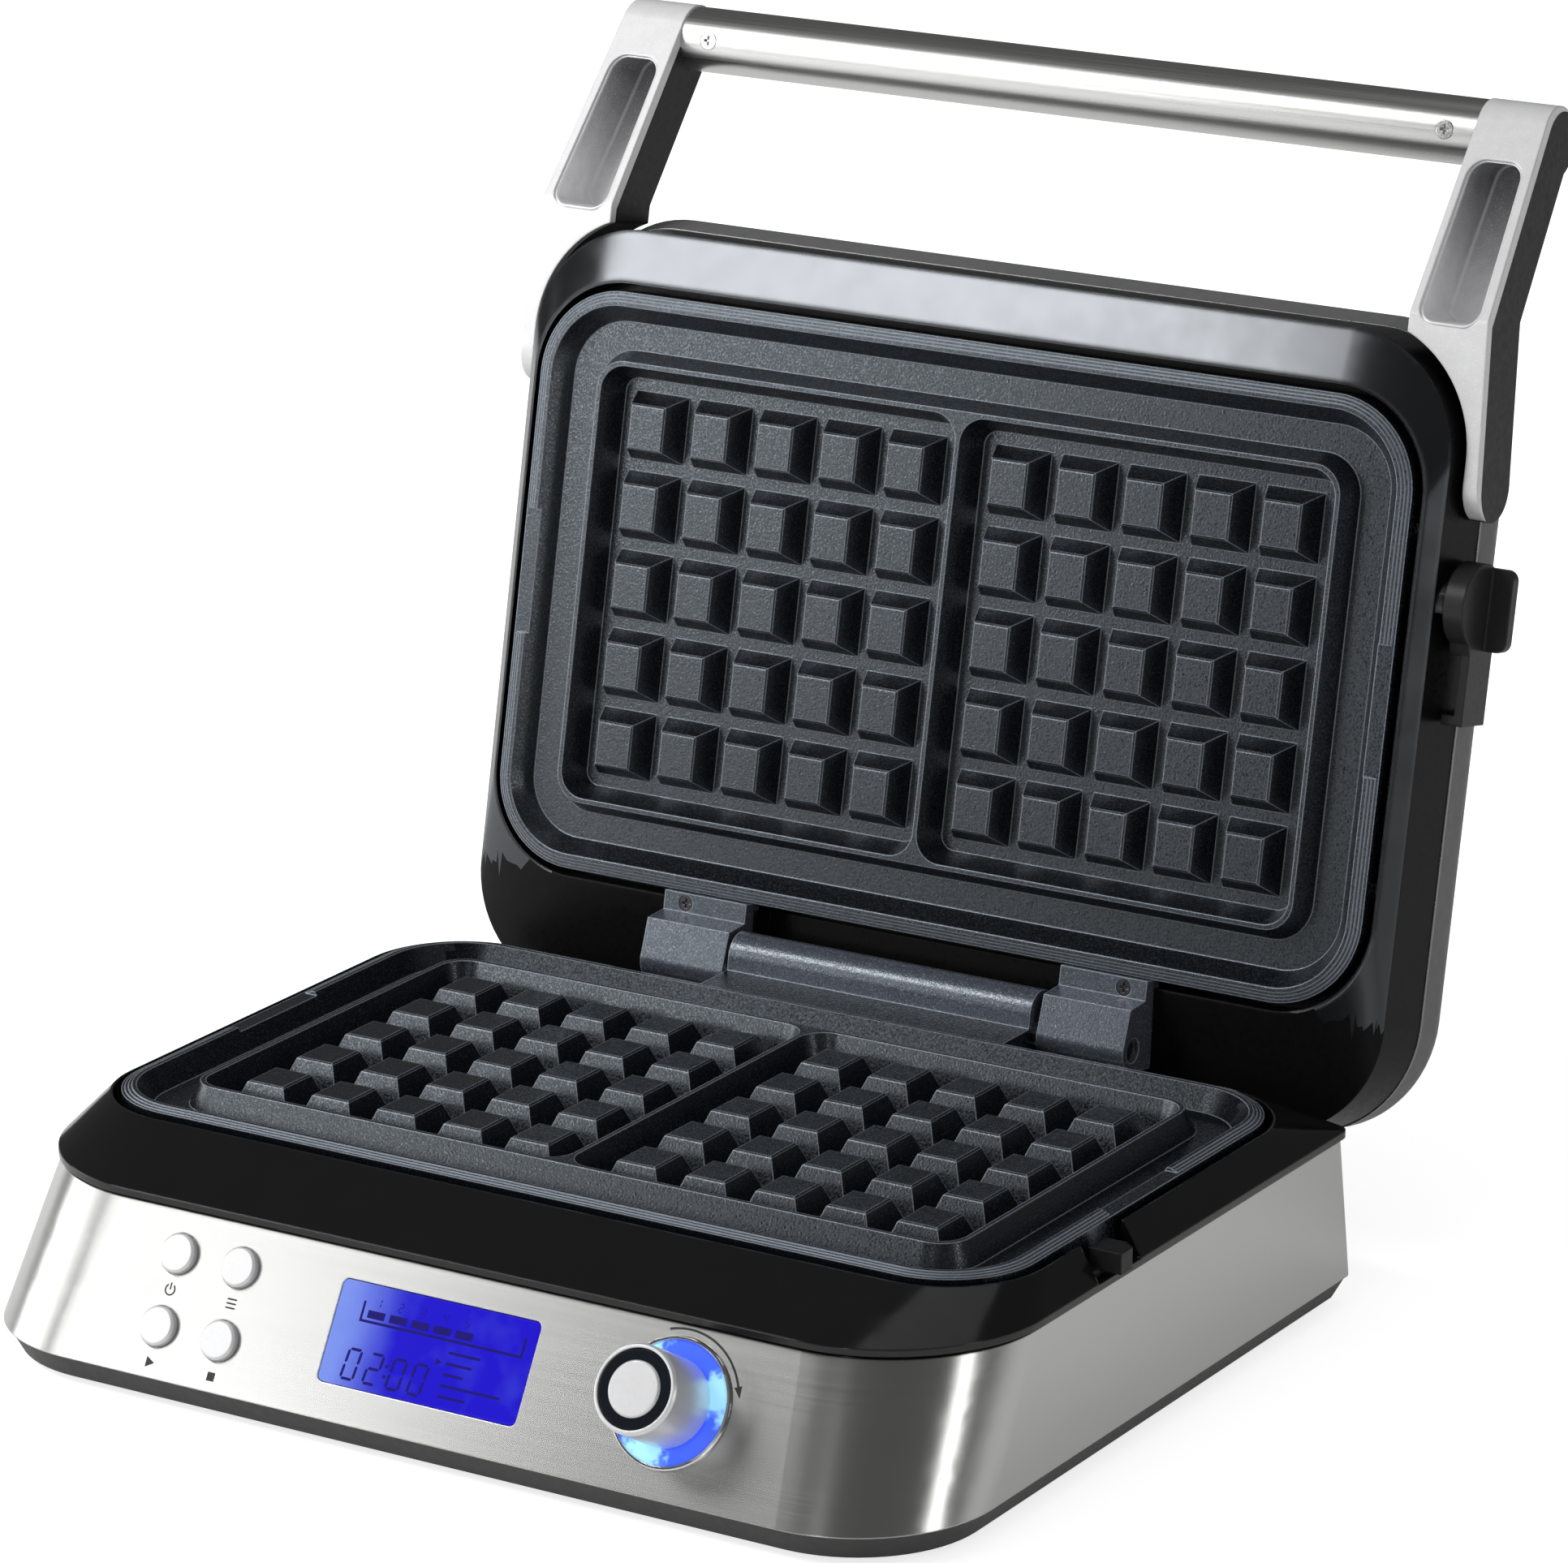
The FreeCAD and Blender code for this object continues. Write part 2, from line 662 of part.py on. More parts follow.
def deck_frame():
    """Sloping frame round the lower plate with a ledge that carries it and four screw bosses."""
    top = grown(OPENING, LID_FACE_MARGIN)
    spigot = grown(DECK_EDGE, -SPIGOT_INSET)
    solid = fused(
        [
            taper(DECK_EDGE, DECK_EDGE_Z, top, DECK_TOP_Z),
            prism(DECK_EDGE, DECK_LIP_Z, DECK_EDGE_Z),
            prism(spigot, SPIGOT_Z, DECK_LIP_Z),
        ]
    )
    solid = solid.cut(prism(OPENING, PLATE_BOTTOM, FAR))
    solid = solid.cut(prism(LEDGE_WINDOW, -FAR, FAR))
    solid = solid.cut(prism(grown(spigot, -DECK_WALL), SPIGOT_Z - CUT_EXTRA, LEDGE_Z))
    front = DECK_EDGE.y0 + SPIGOT_INSET + DECK_WALL
    back = -OPENING_Y - DECK_WALL
    fall = (DECK_TOP_Z - DECK_EDGE_Z) / DECK_FRONT
    front_top = DECK_EDGE_Z + fall * (front - DECK_EDGE.y0) - DECK_WALL
    back_top = DECK_EDGE_Z + fall * (back - DECK_EDGE.y0) - DECK_WALL
    half = DECK_EDGE.x1 - DECK_CORNER
    hollow = side_prism(
        [(front, LEDGE_Z - CUT_EXTRA), (front, front_top), (back, back_top), (back, LEDGE_Z - CUT_EXTRA)],
        -half,
        half,
    )
    solid = solid.cut(hollow).cut(knuckle_room()).cut(catch_notch(0))
    posts = [cylinder_z(BOSS_RADIUS, x, y, TRAY_FLOOR_Z, LEDGE_Z) for x, y in boss_places()]
    bores = [
        cylinder_z(SCREW_RADIUS, x, y, TRAY_FLOOR_Z - CUT_EXTRA, TRAY_FLOOR_Z + SCREW_LENGTH)
        for x, y in boss_places()
    ]
    return solid.multiFuse(posts).cut(Part.makeCompound(bores)).removeSplitter()


def base_catch():
    """Insert in the notch of the deck with the nose that the hook of the lever passes under."""
    outer = DECK_EDGE.x1 - SPIGOT_INSET
    seat = box(
        OPENING_X + SEAT_FIT,
        outer,
        -CATCH_NOTCH_FRONT + SEAT_FIT,
        -CATCH_NOTCH_BACK - SEAT_FIT,
        DECK_EDGE_Z,
        CATCH_NOSE_BOTTOM + SHEET,
    )
    tip = DECK_EDGE.x1 + CATCH_NOSE_REACH
    nose = box(
        OPENING_X + SEAT_FIT, tip, -CATCH_NOSE_FRONT, -CATCH_NOSE_BACK, CATCH_NOSE_BOTTOM, CATCH_NOSE_TOP
    )
    slope = flat_prism(
        [
            (tip - CATCH_NOSE_REACH, -CATCH_NOSE_BACK),
            (tip + CUT_EXTRA, -CATCH_NOSE_BACK - CATCH_NOSE_REACH),
            (tip + CUT_EXTRA, -CATCH_NOSE_BACK),
        ],
        -FAR,
        FAR,
    )
    return fused([seat, nose.cut(slope)])


def panel_window(fit):
    x0 = WINDOW_LEFT - fit
    y0 = WINDOW_LOW - fit
    radius = WINDOW_CORNER + fit
    return Outline(
        x0, x0 + WINDOW_WIDTH + 2 * fit, y0, y0 + WINDOW_HEIGHT + 2 * fit, radius, radius
    )


def button_places():
    """Column, row and centre of the four buttons on the panel."""
    places = {}
    for i, row in enumerate(("lower", "upper")):
        for j, column in enumerate(("left", "right")):
            places[row + "_" + column] = (BUTTON_X + j * BUTTON_PITCH, BUTTON_LOW + i * BUTTON_PITCH)
    return places


def base_skirt():
    """Steel sheet wrapped round front, sides and back corners, pierced for the controls."""
    inner_bottom = grown(SKIRT_BOTTOM, -SKIRT_THICK)
    inner_top = grown(SKIRT_TOP, -SKIRT_THICK)
    low = SKIRT_BOTTOM_Z - CUT_EXTRA
    high = SKIRT_TOP_Z + CUT_EXTRA
    core = taper(
        between(inner_bottom, SKIRT_BOTTOM_Z, inner_top, SKIRT_TOP_Z, low),
        low,
        between(inner_bottom, SKIRT_BOTTOM_Z, inner_top, SKIRT_TOP_Z, high),
        high,
    )
    shell = taper(SKIRT_BOTTOM, SKIRT_BOTTOM_Z, SKIRT_TOP, SKIRT_TOP_Z).cut(core)
    shell = shell.cut(box(-REAR_HALF, REAR_HALF, 0, FAR, low, high))
    reach = 2 * SKIRT_THICK
    holes = [prism(panel_window(WINDOW_FIT), -reach, reach)]
    holes.append(cylinder_z(LIGHT_RING_OUT, KNOB_X, KNOB_UP, -reach, reach))
    for x, y in button_places().values():
        holes.append(cylinder_z(BUTTON_RADIUS + BUTTON_HOLE_FIT, x, y, -reach, reach))
    return shell.cut(placed(Part.makeCompound(holes), PANEL_PLACE))


def leaning_slab(half, inner, outer):
    """Upright plate that leans with the back of the skirt, given by its depths behind that face."""
    return side_prism(
        [
            (SKIRT_BOTTOM.y1 - inner, SKIRT_BOTTOM_Z),
            (SKIRT_BOTTOM.y1 - outer, SKIRT_BOTTOM_Z),
            (SKIRT_TOP.y1 - outer, SKIRT_TOP_Z),
            (SKIRT_TOP.y1 - inner, SKIRT_TOP_Z),
        ],
        -half,
        half,
    )


def gland_place():
    """On the outer face of the rear panel, Z out of it."""
    z = SKIRT_BOTTOM_Z + GLAND_UP
    lean = degrees(atan2(SKIRT_BACK_SPREAD, SKIRT_HEIGHT))
    return FreeCAD.Placement(
        vec(GLAND_X, skirt_outline(z).y1, z), FreeCAD.Rotation(X_AXIS, lean - 90)
    )


def rear_panel():
    """Black back wall in the gap of the skirt, with a flange behind the sheet, vents and cord hole."""
    wall = leaning_slab(REAR_HALF - SEAT_FIT, REAR_THICK, 0)
    flange = leaning_slab(REAR_HALF + REAR_FLANGE, REAR_THICK, SKIRT_THICK + RUNNING_FIT)
    panel = fused([wall, flange])
    middle = (SKIRT_TOP_Z + SKIRT_BOTTOM_Z) / 2
    vents = []
    for i in range(VENT_COUNT):
        x = (i - (VENT_COUNT - 1) / 2) * VENT_PITCH
        half = VENT_WIDTH / 2
        vents.append(
            box(x - half, x + half, 0, FAR, middle - VENT_HEIGHT / 2, middle + VENT_HEIGHT / 2)
        )
    hole = placed(cylinder_z(GLAND_RADIUS, 0, 0, -2 * REAR_THICK, REAR_THICK), gland_place())
    return panel.cut(Part.makeCompound(vents)).cut(hole)


def cord_inlet():
    """Ring-shaped gland in the rear panel, flanged outside."""
    profile = [
        (GLAND_BORE, -REAR_THICK - SHEET),
        (GLAND_RADIUS, -REAR_THICK - SHEET),
        (GLAND_RADIUS, 0),
        (GLAND_RADIUS + SHEET, 0),
        (GLAND_RADIUS + SHEET, 2 * SHEET),
        (GLAND_BORE + SHEET, 4 * SHEET),
        (GLAND_BORE, 4 * SHEET),
    ]
    return placed(revolved(profile, 0, 0), gland_place())


# Tray, feet and the screws from below


def foot_places():
    return [(sx * FOOT_X, y) for sx in (-1, 1) for y in (-FOOT_FRONT, FOOT_BACK)]


def base_tray():
    """Shallow tray with a chamfered edge that carries the skirt, with a wall just inside it."""
    bottom = grown(SKIRT_BOTTOM, -TRAY_INSET)
    ledge = grown(SKIRT_BOTTOM, -TRAY_LEDGE_INSET)
    wall_fit = -SKIRT_THICK - SEAT_FIT
    wall_top_z = SKIRT_BOTTOM_Z + TRAY_WALL_HEIGHT
    wall = taper(
        grown(SKIRT_BOTTOM, wall_fit), SKIRT_BOTTOM_Z, grown(skirt_outline(wall_top_z), wall_fit), wall_top_z
    )
    wall = wall.cut(box(-FAR, FAR, SKIRT_TOP.y1 - DECK_BACK_CORNER, FAR, -FAR, FAR))
    tray = taper(bottom, TRAY_BOTTOM_Z, ledge, SKIRT_BOTTOM_Z).fuse(wall)
    room_fit = wall_fit - TRAY_WALL
    room_low = grown(bottom, -TRAY_WALL)
    room_mid = grown(SKIRT_BOTTOM, room_fit - TRAY_WALL)
    room_top = grown(skirt_outline(wall_top_z), room_fit)
    tray = tray.cut(taper(room_low, TRAY_FLOOR_Z, room_mid, SKIRT_BOTTOM_Z))
    tray = tray.cut(taper(room_mid, SKIRT_BOTTOM_Z, room_top, wall_top_z))
    posts = [
        cylinder_z(POWER_POST_RADIUS, x, y, TRAY_FLOOR_Z, TRAY_FLOOR_Z + POWER_POST)
        for x in (POWER_X - POWER_LONG / 3, POWER_X + POWER_LONG / 3)
        for y in (POWER_Y - POWER_WIDE / 3, POWER_Y + POWER_WIDE / 3)
    ]
    holes = []
    for x, y in boss_places():
        holes.append(cylinder_z(SCREW_RADIUS + SEAT_FIT, x, y, -FAR, TRAY_FLOOR_Z))
        holes.append(
            cylinder_z(SCREW_HEAD_RADIUS + SEAT_FIT, x, y, -FAR, TRAY_BOTTOM_Z + SCREW_HEAD)
        )
    for x, y in foot_places():
        holes.append(cylinder_z(FOOT_PLUG_RADIUS, x, y, -FAR, TRAY_FLOOR_Z))
    return tray.multiFuse(posts).cut(Part.makeCompound(holes)).removeSplitter()


def rubber_feet():
    feet = []
    for x, y in foot_places():
        z = TRAY_BOTTOM_Z
        profile = [
            (0, z - FOOT_HEIGHT),
            (FOOT_RADIUS - SHEET, z - FOOT_HEIGHT),
            (FOOT_RADIUS, z - FOOT_HEIGHT + SHEET),
            (FOOT_RADIUS, z),
            (FOOT_PLUG_RADIUS, z),
            (FOOT_PLUG_RADIUS, z + FOOT_PLUG),
            (0, z + FOOT_PLUG),
        ]
        feet.append(revolved(profile, x, y))
    return Part.makeCompound(feet)


def base_screws():
    screws = []
    for x, y in boss_places():
        z = TRAY_BOTTOM_Z + SCREW_HEAD
        profile = [
            (0, TRAY_BOTTOM_Z),
            (SCREW_HEAD_RADIUS, TRAY_BOTTOM_Z),
            (SCREW_HEAD_RADIUS, z),
            (SCREW_RADIUS, z),
            (SCREW_RADIUS, TRAY_FLOOR_Z + SCREW_LENGTH),
            (0, TRAY_FLOOR_Z + SCREW_LENGTH),
        ]
        socket = cross_recess(x, y, TRAY_BOTTOM_Z - CUT_EXTRA, TRAY_BOTTOM_Z + CROSS_DEPTH)
        screws.append(revolved(profile, x, y).cut(socket))
    return Part.makeCompound(screws)


def power_board():
    """Board on the posts of the tray, with a relay and a capacitor."""
    z = TRAY_FLOOR_Z + POWER_POST
    x0 = POWER_X - POWER_LONG / 2
    y0 = POWER_Y - POWER_WIDE / 2
    board = box(x0, x0 + POWER_LONG, y0, y0 + POWER_WIDE, z, z + BOARD_THICK)
    relay_size = POWER_WIDE / 3
    relay_y = y0 + RELAY_EDGE
    relay = box(x0 + relay_size, x0 + 2 * relay_size, relay_y, relay_y + relay_size, z, z + relay_size)
    can = cylinder_z(relay_size / 2, x0 + CAN_ALONG, POWER_Y, z, z + relay_size)
    return fused([board, relay, can])


# Controls, built flat on the panel plane with Z out of the panel


def knob_hole(radius, z0, z1):
    return cylinder_z(radius, KNOB_X, KNOB_UP, z0, z1)


def push_button(x, y):
    """Round cap with a broken edge, a retaining flange behind the panel and a short stem."""
    back = -SKIRT_THICK - MOVING_GAP
    stem_end = BOARD_FRONT + SWITCH_BODY + SWITCH_PLUNGER + BUTTON_TRAVEL + MOVING_GAP
    profile = [
        (0, BUTTON_PROUD),
        (BUTTON_RADIUS - BUTTON_EDGE, BUTTON_PROUD),
        (BUTTON_RADIUS, BUTTON_PROUD - BUTTON_EDGE),
        (BUTTON_RADIUS, back),
        (BUTTON_RADIUS + BUTTON_FLANGE, back),
        (BUTTON_RADIUS + BUTTON_FLANGE, back - BUTTON_FLANGE_THICK),
        (BUTTON_STEM_RADIUS, back - BUTTON_FLANGE_THICK),
        (BUTTON_STEM_RADIUS, stem_end),
        (0, stem_end),
    ]
    return placed(revolved(profile, x, y), PANEL_PLACE)


def control_carrier():
    """Moulded block behind the panel that holds buttons, display, light ring and board."""
    block = box(CARRIER_LEFT, CARRIER_RIGHT, CARRIER_LOW, CARRIER_HIGH, BOARD_FRONT, -SKIRT_THICK)
    rooms = [prism(panel_window(WINDOW_FIT), BOARD_FRONT - CUT_EXTRA, CUT_EXTRA)]
    bore = BUTTON_RADIUS + BUTTON_FLANGE + MOVING_GAP
    for x, y in button_places().values():
        rooms.append(cylinder_z(bore, x, y, BOARD_FRONT - CUT_EXTRA, CUT_EXTRA))
    encoder_room = hypot(ENCODER_SIZE, ENCODER_SIZE) / 2 + SEAT_FIT
    rooms.append(knob_hole(encoder_room, BOARD_FRONT - CUT_EXTRA, CUT_EXTRA))
    rooms.append(knob_hole(LIGHT_RING_OUT, -SKIRT_THICK - SHEET, CUT_EXTRA))
    return placed(block.cut(Part.makeCompound(rooms)), PANEL_PLACE)


def control_board():
    board = box(
        CARRIER_LEFT + SHEET,
        CARRIER_RIGHT - SHEET,
        CARRIER_LOW + SHEET,
        CARRIER_HIGH - SHEET,
        BOARD_FRONT - BOARD_THICK,
        BOARD_FRONT,
    )
    return placed(board, PANEL_PLACE)


def push_switches():
    half = SWITCH_SIZE / 2
    top = BOARD_FRONT + SWITCH_BODY
    switches = []
    for x, y in button_places().values():
        body = box(x - half, x + half, y - half, y + half, BOARD_FRONT, top)
        plunger = cylinder_z(SWITCH_SIZE / 4, x, y, top, top + SWITCH_PLUNGER)
        switches.append(placed(fused([body, plunger]), PANEL_PLACE))
    return Part.makeCompound(switches)


def display_window():
    """Flush cover of the display, its front edge chamfered."""
    outline = panel_window(0)
    back = WINDOW_PROUD - WINDOW_THICK
    shoulder = WINDOW_PROUD - SHEET / 2
    front = grown(outline, -SHEET / 2)
    lens = fused([prism(outline, back, shoulder), taper(outline, shoulder, front, WINDOW_PROUD)])
    return placed(lens, PANEL_PLACE)


def display_module():
    return placed(prism(panel_window(0), BOARD_FRONT, WINDOW_PROUD - WINDOW_THICK), PANEL_PLACE)


def light_ring():
    profile = [
        (LIGHT_RING_IN, -SKIRT_THICK - SHEET),
        (LIGHT_RING_OUT, -SKIRT_THICK - SHEET),
        (LIGHT_RING_OUT, 0),
        (LIGHT_RING_OUT - LIGHT_RING_PROUD, LIGHT_RING_PROUD),
        (LIGHT_RING_IN, LIGHT_RING_PROUD),
    ]
    return placed(revolved(profile, KNOB_X, KNOB_UP), PANEL_PLACE)


def ring_bezel():
    inner = LIGHT_RING_OUT
    outer = inner + BEZEL_WIDTH
    chamfer = BEZEL_WIDTH / 3
    profile = [
        (inner, 0),
        (outer, 0),
        (outer, BEZEL_PROUD - chamfer),
        (outer - chamfer, BEZEL_PROUD),
        (inner, BEZEL_PROUD),
    ]
    return placed(revolved(profile, KNOB_X, KNOB_UP), PANEL_PLACE)


def encoder():
    """Rotary switch on the board, with the bush in which the shaft turns."""
    half = ENCODER_SIZE / 2
    top = BOARD_FRONT + ENCODER_BODY
    body = box(KNOB_X - half, KNOB_X + half, KNOB_UP - half, KNOB_UP + half, BOARD_FRONT, top)
    bush = knob_hole(SHAFT_RADIUS + 2 * SHEET, top, top + ENCODER_BUSH)
    bore = knob_hole(SHAFT_RADIUS + RUNNING_FIT, BOARD_FRONT + SHEET, FAR)
    return placed(fused([body, bush]).cut(bore), PANEL_PLACE)


def knob_shaft():
    low = BOARD_FRONT + SHEET + MOVING_GAP
    return placed(knob_hole(SHAFT_RADIUS, low, SHAFT_UP), PANEL_PLACE)


def knob_body():
    """Cup with a chamfered front rim, a seat for ring and cap, and a post round the shaft."""
    front = KNOB_LIFT + KNOB_LENGTH
    seat = front - KNOB_FACE_DEPTH
    cavity_top = KNOB_LIFT + KNOB_CAVITY_DEPTH
    profile = [
        (0, SHAFT_UP),
        (SHAFT_RADIUS, SHAFT_UP),
        (SHAFT_RADIUS, KNOB_LIFT + SHEET),
        (KNOB_POST, KNOB_LIFT + SHEET),
        (KNOB_POST, cavity_top),
        (KNOB_CAVITY, cavity_top),
        (KNOB_CAVITY, KNOB_LIFT),
        (KNOB_RADIUS, KNOB_LIFT),
        (KNOB_RADIUS, front - KNOB_EDGE),
        (KNOB_RADIUS - KNOB_EDGE_RUN, front),
        (KNOB_RING_OUT, front),
        (KNOB_RING_OUT, seat),
        (0, seat),
    ]
    return placed(revolved(profile, KNOB_X, KNOB_UP), PANEL_PLACE)


def knob_ring():
    seat = KNOB_LIFT + KNOB_LENGTH - KNOB_FACE_DEPTH
    front = KNOB_LIFT + KNOB_LENGTH - KNOB_RING_SINK
    profile = [
        (KNOB_CAP_RADIUS, seat),
        (KNOB_RING_OUT, seat),
        (KNOB_RING_OUT, front - SHEET / 2),
        (KNOB_RING_OUT - SHEET / 2, front),
        (KNOB_CAP_RADIUS, front),
    ]
    return placed(revolved(profile, KNOB_X, KNOB_UP), PANEL_PLACE)


def knob_cap():
    seat = KNOB_LIFT + KNOB_LENGTH - KNOB_FACE_DEPTH
    front = KNOB_LIFT + KNOB_LENGTH + KNOB_CAP_PROUD
    profile = [
        (0, seat),
        (KNOB_CAP_RADIUS, seat),
        (KNOB_CAP_RADIUS, front - SHEET / 2),
        (KNOB_CAP_RADIUS - SHEET / 2, front),
        (0, front),
    ]
    return placed(revolved(profile, KNOB_X, KNOB_UP), PANEL_PLACE)


# Hinge castings of the lid, in lid coordinates (Y is T, Z is N)


def hinge_bracket():
    """Right-hand casting: ear with a screw hole, raised knuckle round the pin."""
    ear_top = -PLATE_Y - EAR_TOP_INSET
    ear_low = ear_top - EAR_HEIGHT
    front = HINGE_N + KNUCKLE_RADIUS
    tail = HINGE_T - KNUCKLE_RADIUS
    ramp = EAR_HEIGHT / 3
    block = side_prism(
        [
            (ear_top, KNUCKLE_BACK),
            (ear_top, EAR_FRONT),
            (ear_low, EAR_FRONT),
            (ear_low - ramp, front - ramp),
            (HINGE_T, front),
            (HINGE_T, HINGE_N),
            (tail, HINGE_N),
            (tail, KNUCKLE_BACK),
        ],
        KNUCKLE_IN,
        KNUCKLE_OUT,
    )
    round_end = cylinder_x(KNUCKLE_RADIUS, KNUCKLE_IN, KNUCKLE_OUT, HINGE_T, HINGE_N)
    casting = fused([block, round_end])
    casting = casting.cut(cylinder_x(PIN_RADIUS + RUNNING_FIT, -FAR, FAR, HINGE_T, HINGE_N))
    t = ear_top - EAR_SCREW_DOWN
    hole = cylinder_z(SCREW_RADIUS, EAR_SCREW_X, t, -FAR, FAR)
    recess = cylinder_z(EAR_SCREW_RADIUS, EAR_SCREW_X, t, EAR_FRONT - SHEET, FAR)
    return casting.cut(hole).cut(recess)


def hinge_screws():
    t = -PLATE_Y - EAR_TOP_INSET - EAR_SCREW_DOWN
    top = EAR_FRONT - SHEET / 3
    head = cylinder_z(EAR_SCREW_RADIUS, EAR_SCREW_X, t, EAR_FRONT - SHEET, top)
    shank = cylinder_z(SCREW_RADIUS, EAR_SCREW_X, t, SLOT_FLOOR_N, EAR_FRONT - SHEET)
    screw = fused([head, shank]).cut(cross_recess(EAR_SCREW_X, t, top - CROSS_DEPTH, FAR))
    return placed(Part.makeCompound(one_each_side(screw)), LID_PLACE)


def hinge_pin():
    end = KNUCKLE_OUT - SHEET
    return cylinder_x(PIN_RADIUS, -end, end, HINGE_Y, HINGE_Z)


# Lid shells, in lid coordinates


def lever_outer_x():
    return LID_FLARE.x1 + LEVER_GAP + LEVER_THICK


def lid_outline(n):
    return between(LID_EDGE, LID_EDGE_N, LID_SEAM, LID_SEAM_N, n)


def lever_boss():
    """Flat-sided boss on the right wall of the lid that carries the pin of the lever."""
    outer = LID_FLARE.x1 + LEVER_GAP / 2
    inner = OPENING_X
    boss = cylinder_x(LEVER_BOSS_RADIUS, inner, outer, LEVER_T, LEVER_N)
    boss = boss.cut(box(-FAR, FAR, -FAR, LEVER_T - LEVER_BOSS_FLAT, -FAR, FAR))
    return boss.cut(box(-FAR, FAR, -FAR, FAR, -FAR, LID_SEAM_N))


def lid_frame():
    """Black frame round the upper plate with a bevelled front and a slot for the hinge barrel."""
    top = grown(OPENING, LID_FACE_MARGIN)
    solid = fused(
        [
            taper(LID_EDGE, LID_EDGE_N, top, LID_FACE_N),
            taper(LID_SEAM, LID_SEAM_N, LID_EDGE, LID_EDGE_N),
        ]
    )
    solid = solid.cut(prism(OPENING, PLATE_BOTTOM, FAR))
    solid = solid.cut(prism(LEDGE_WINDOW, -FAR, FAR))
    room = taper(grown(LID_SEAM, -LID_WALL), LID_SEAM_N, grown(lid_outline(LEDGE_Z), -LID_WALL), LEDGE_Z)
    solid = solid.cut(room)
    half = LID_EDGE.x1 - LID_EDGE_CORNER
    t0 = OPENING_Y + LID_WALL
    t1 = LID_EDGE.y1 - LID_WALL
    free_hollow = side_prism(
        [
            (t0, LEDGE_Z - CUT_EXTRA),
            (t0, LID_FACE_N - 2 * LID_WALL),
            (t1, LID_EDGE_N - LID_WALL),
            (t1, LEDGE_Z - CUT_EXTRA),
        ],
        -half,
        half,
    )
    solid = solid.cut(free_hollow)
    seat_top = PLATE_BOTTOM + LEDGE_THICK
    for side in (-1, 1):
        x0, x1 = sorted([side * (KNUCKLE_OUT + 2 * LID_WALL), side * half])
        solid = solid.cut(
            box(x0, x1, LID_EDGE.y0 + LID_WALL, -OPENING_Y - LID_WALL, LEDGE_Z - CUT_EXTRA, seat_top)
        )
        x0, x1 = sorted([side * (KNUCKLE_IN - SHEET / 2), side * (KNUCKLE_OUT + SHEET / 2)])
        tail = HINGE_T - KNUCKLE_RADIUS - SHEET
        solid = solid.cut(box(x0, x1, tail, -PLATE_Y, KNUCKLE_BACK, FAR))
    solid = solid.cut(box(-SLOT_HALF, SLOT_HALF, -FAR, -PLATE_Y - PLATE_GAP / 2, SLOT_FLOOR_N, FAR))
    solid = solid.fuse(lever_boss())
    solid = solid.cut(cylinder_x(LEVER_PIN_RADIUS, LID_FLARE.x1 - LEVER_PIN_IN, FAR, LEVER_T, LEVER_N))
    holes = []
    for x, t in boss_places():
        holes.append(cylinder_z(SCREW_RADIUS + SEAT_FIT, x, t, LEDGE_Z - CUT_EXTRA, FAR))
        holes.append(
            cylinder_z(SCREW_HEAD_RADIUS + SEAT_FIT, x, t, PLATE_BOTTOM - SCREW_HEAD, PLATE_BOTTOM)
        )
    ear_t = -PLATE_Y - EAR_TOP_INSET - EAR_SCREW_DOWN
    for x in (-EAR_SCREW_X, EAR_SCREW_X):
        holes.append(cylinder_z(SCREW_RADIUS, x, ear_t, SLOT_FLOOR_N, FAR))
    for t in (ARM_SCREW_LOW_T, ARM_SCREW_HIGH_T):
        holes.append(cylinder_x(ARM_SCREW_RADIUS + SEAT_FIT, -FAR, FAR, t, ARM_SCREW_N))
    return solid.cut(Part.makeCompound(holes)).removeSplitter()


def lid_trim():
    """Thin bright strip in the seam between frame and cover."""
    outer = grown(LID_SEAM, LID_TRIM_PROUD)
    ring = prism(outer, LID_SEAM_N - LID_TRIM, LID_SEAM_N)
    return ring.cut(prism(grown(LID_SEAM, -LID_WALL), LID_SEAM_N - 2 * LID_TRIM, LID_SEAM_N + LID_TRIM))


def lid_cover():
    """Back shell of the lid: flared at the free edge, rounded at the back, four bosses inside."""
    seam = LID_SEAM_N - LID_TRIM
    back = prism(LID_FLARE, LID_BACK_N, LID_FLARE_N)
    rim = edges_where(back, lambda p: abs(p.z - LID_BACK_N) < 1e-6)
    back = back.makeFillet(LID_BACK_ROUND, rim)
    shell = fused([back, taper(LID_FLARE, LID_FLARE_N, LID_SEAM, seam)])
    inner_flare = grown(LID_FLARE, -LID_WALL)
    inner_back = grown(LID_FLARE, -2 * LID_WALL)
    shell = shell.cut(taper(inner_flare, LID_FLARE_N, grown(LID_SEAM, -LID_WALL), seam))
    shell = shell.cut(prism(inner_back, LID_BACK_N + LID_BACK_WALL, LID_FLARE_N))
    posts = [cylinder_z(BOSS_RADIUS, x, t, LID_BACK_N + SHEET, LEDGE_Z) for x, t in boss_places()]
    bores = [
        cylinder_z(SCREW_RADIUS, x, t, LEDGE_Z - SCREW_LENGTH, LEDGE_Z + CUT_EXTRA)
        for x, t in boss_places()
    ]
    return shell.multiFuse(posts).cut(Part.makeCompound(bores)).removeSplitter()


def lid_screws():
    screws = []
    for x, t in boss_places():
        seat = PLATE_BOTTOM - SCREW_HEAD
        profile = [
            (0, PLATE_BOTTOM),
            (SCREW_HEAD_RADIUS, PLATE_BOTTOM),
            (SCREW_HEAD_RADIUS, seat),
            (SCREW_RADIUS, seat),
            (SCREW_RADIUS, LEDGE_Z - SCREW_LENGTH),
            (0, LEDGE_Z - SCREW_LENGTH),
        ]
        screws.append(revolved(profile, x, t))
    return placed(Part.makeCompound(screws), LID_PLACE)


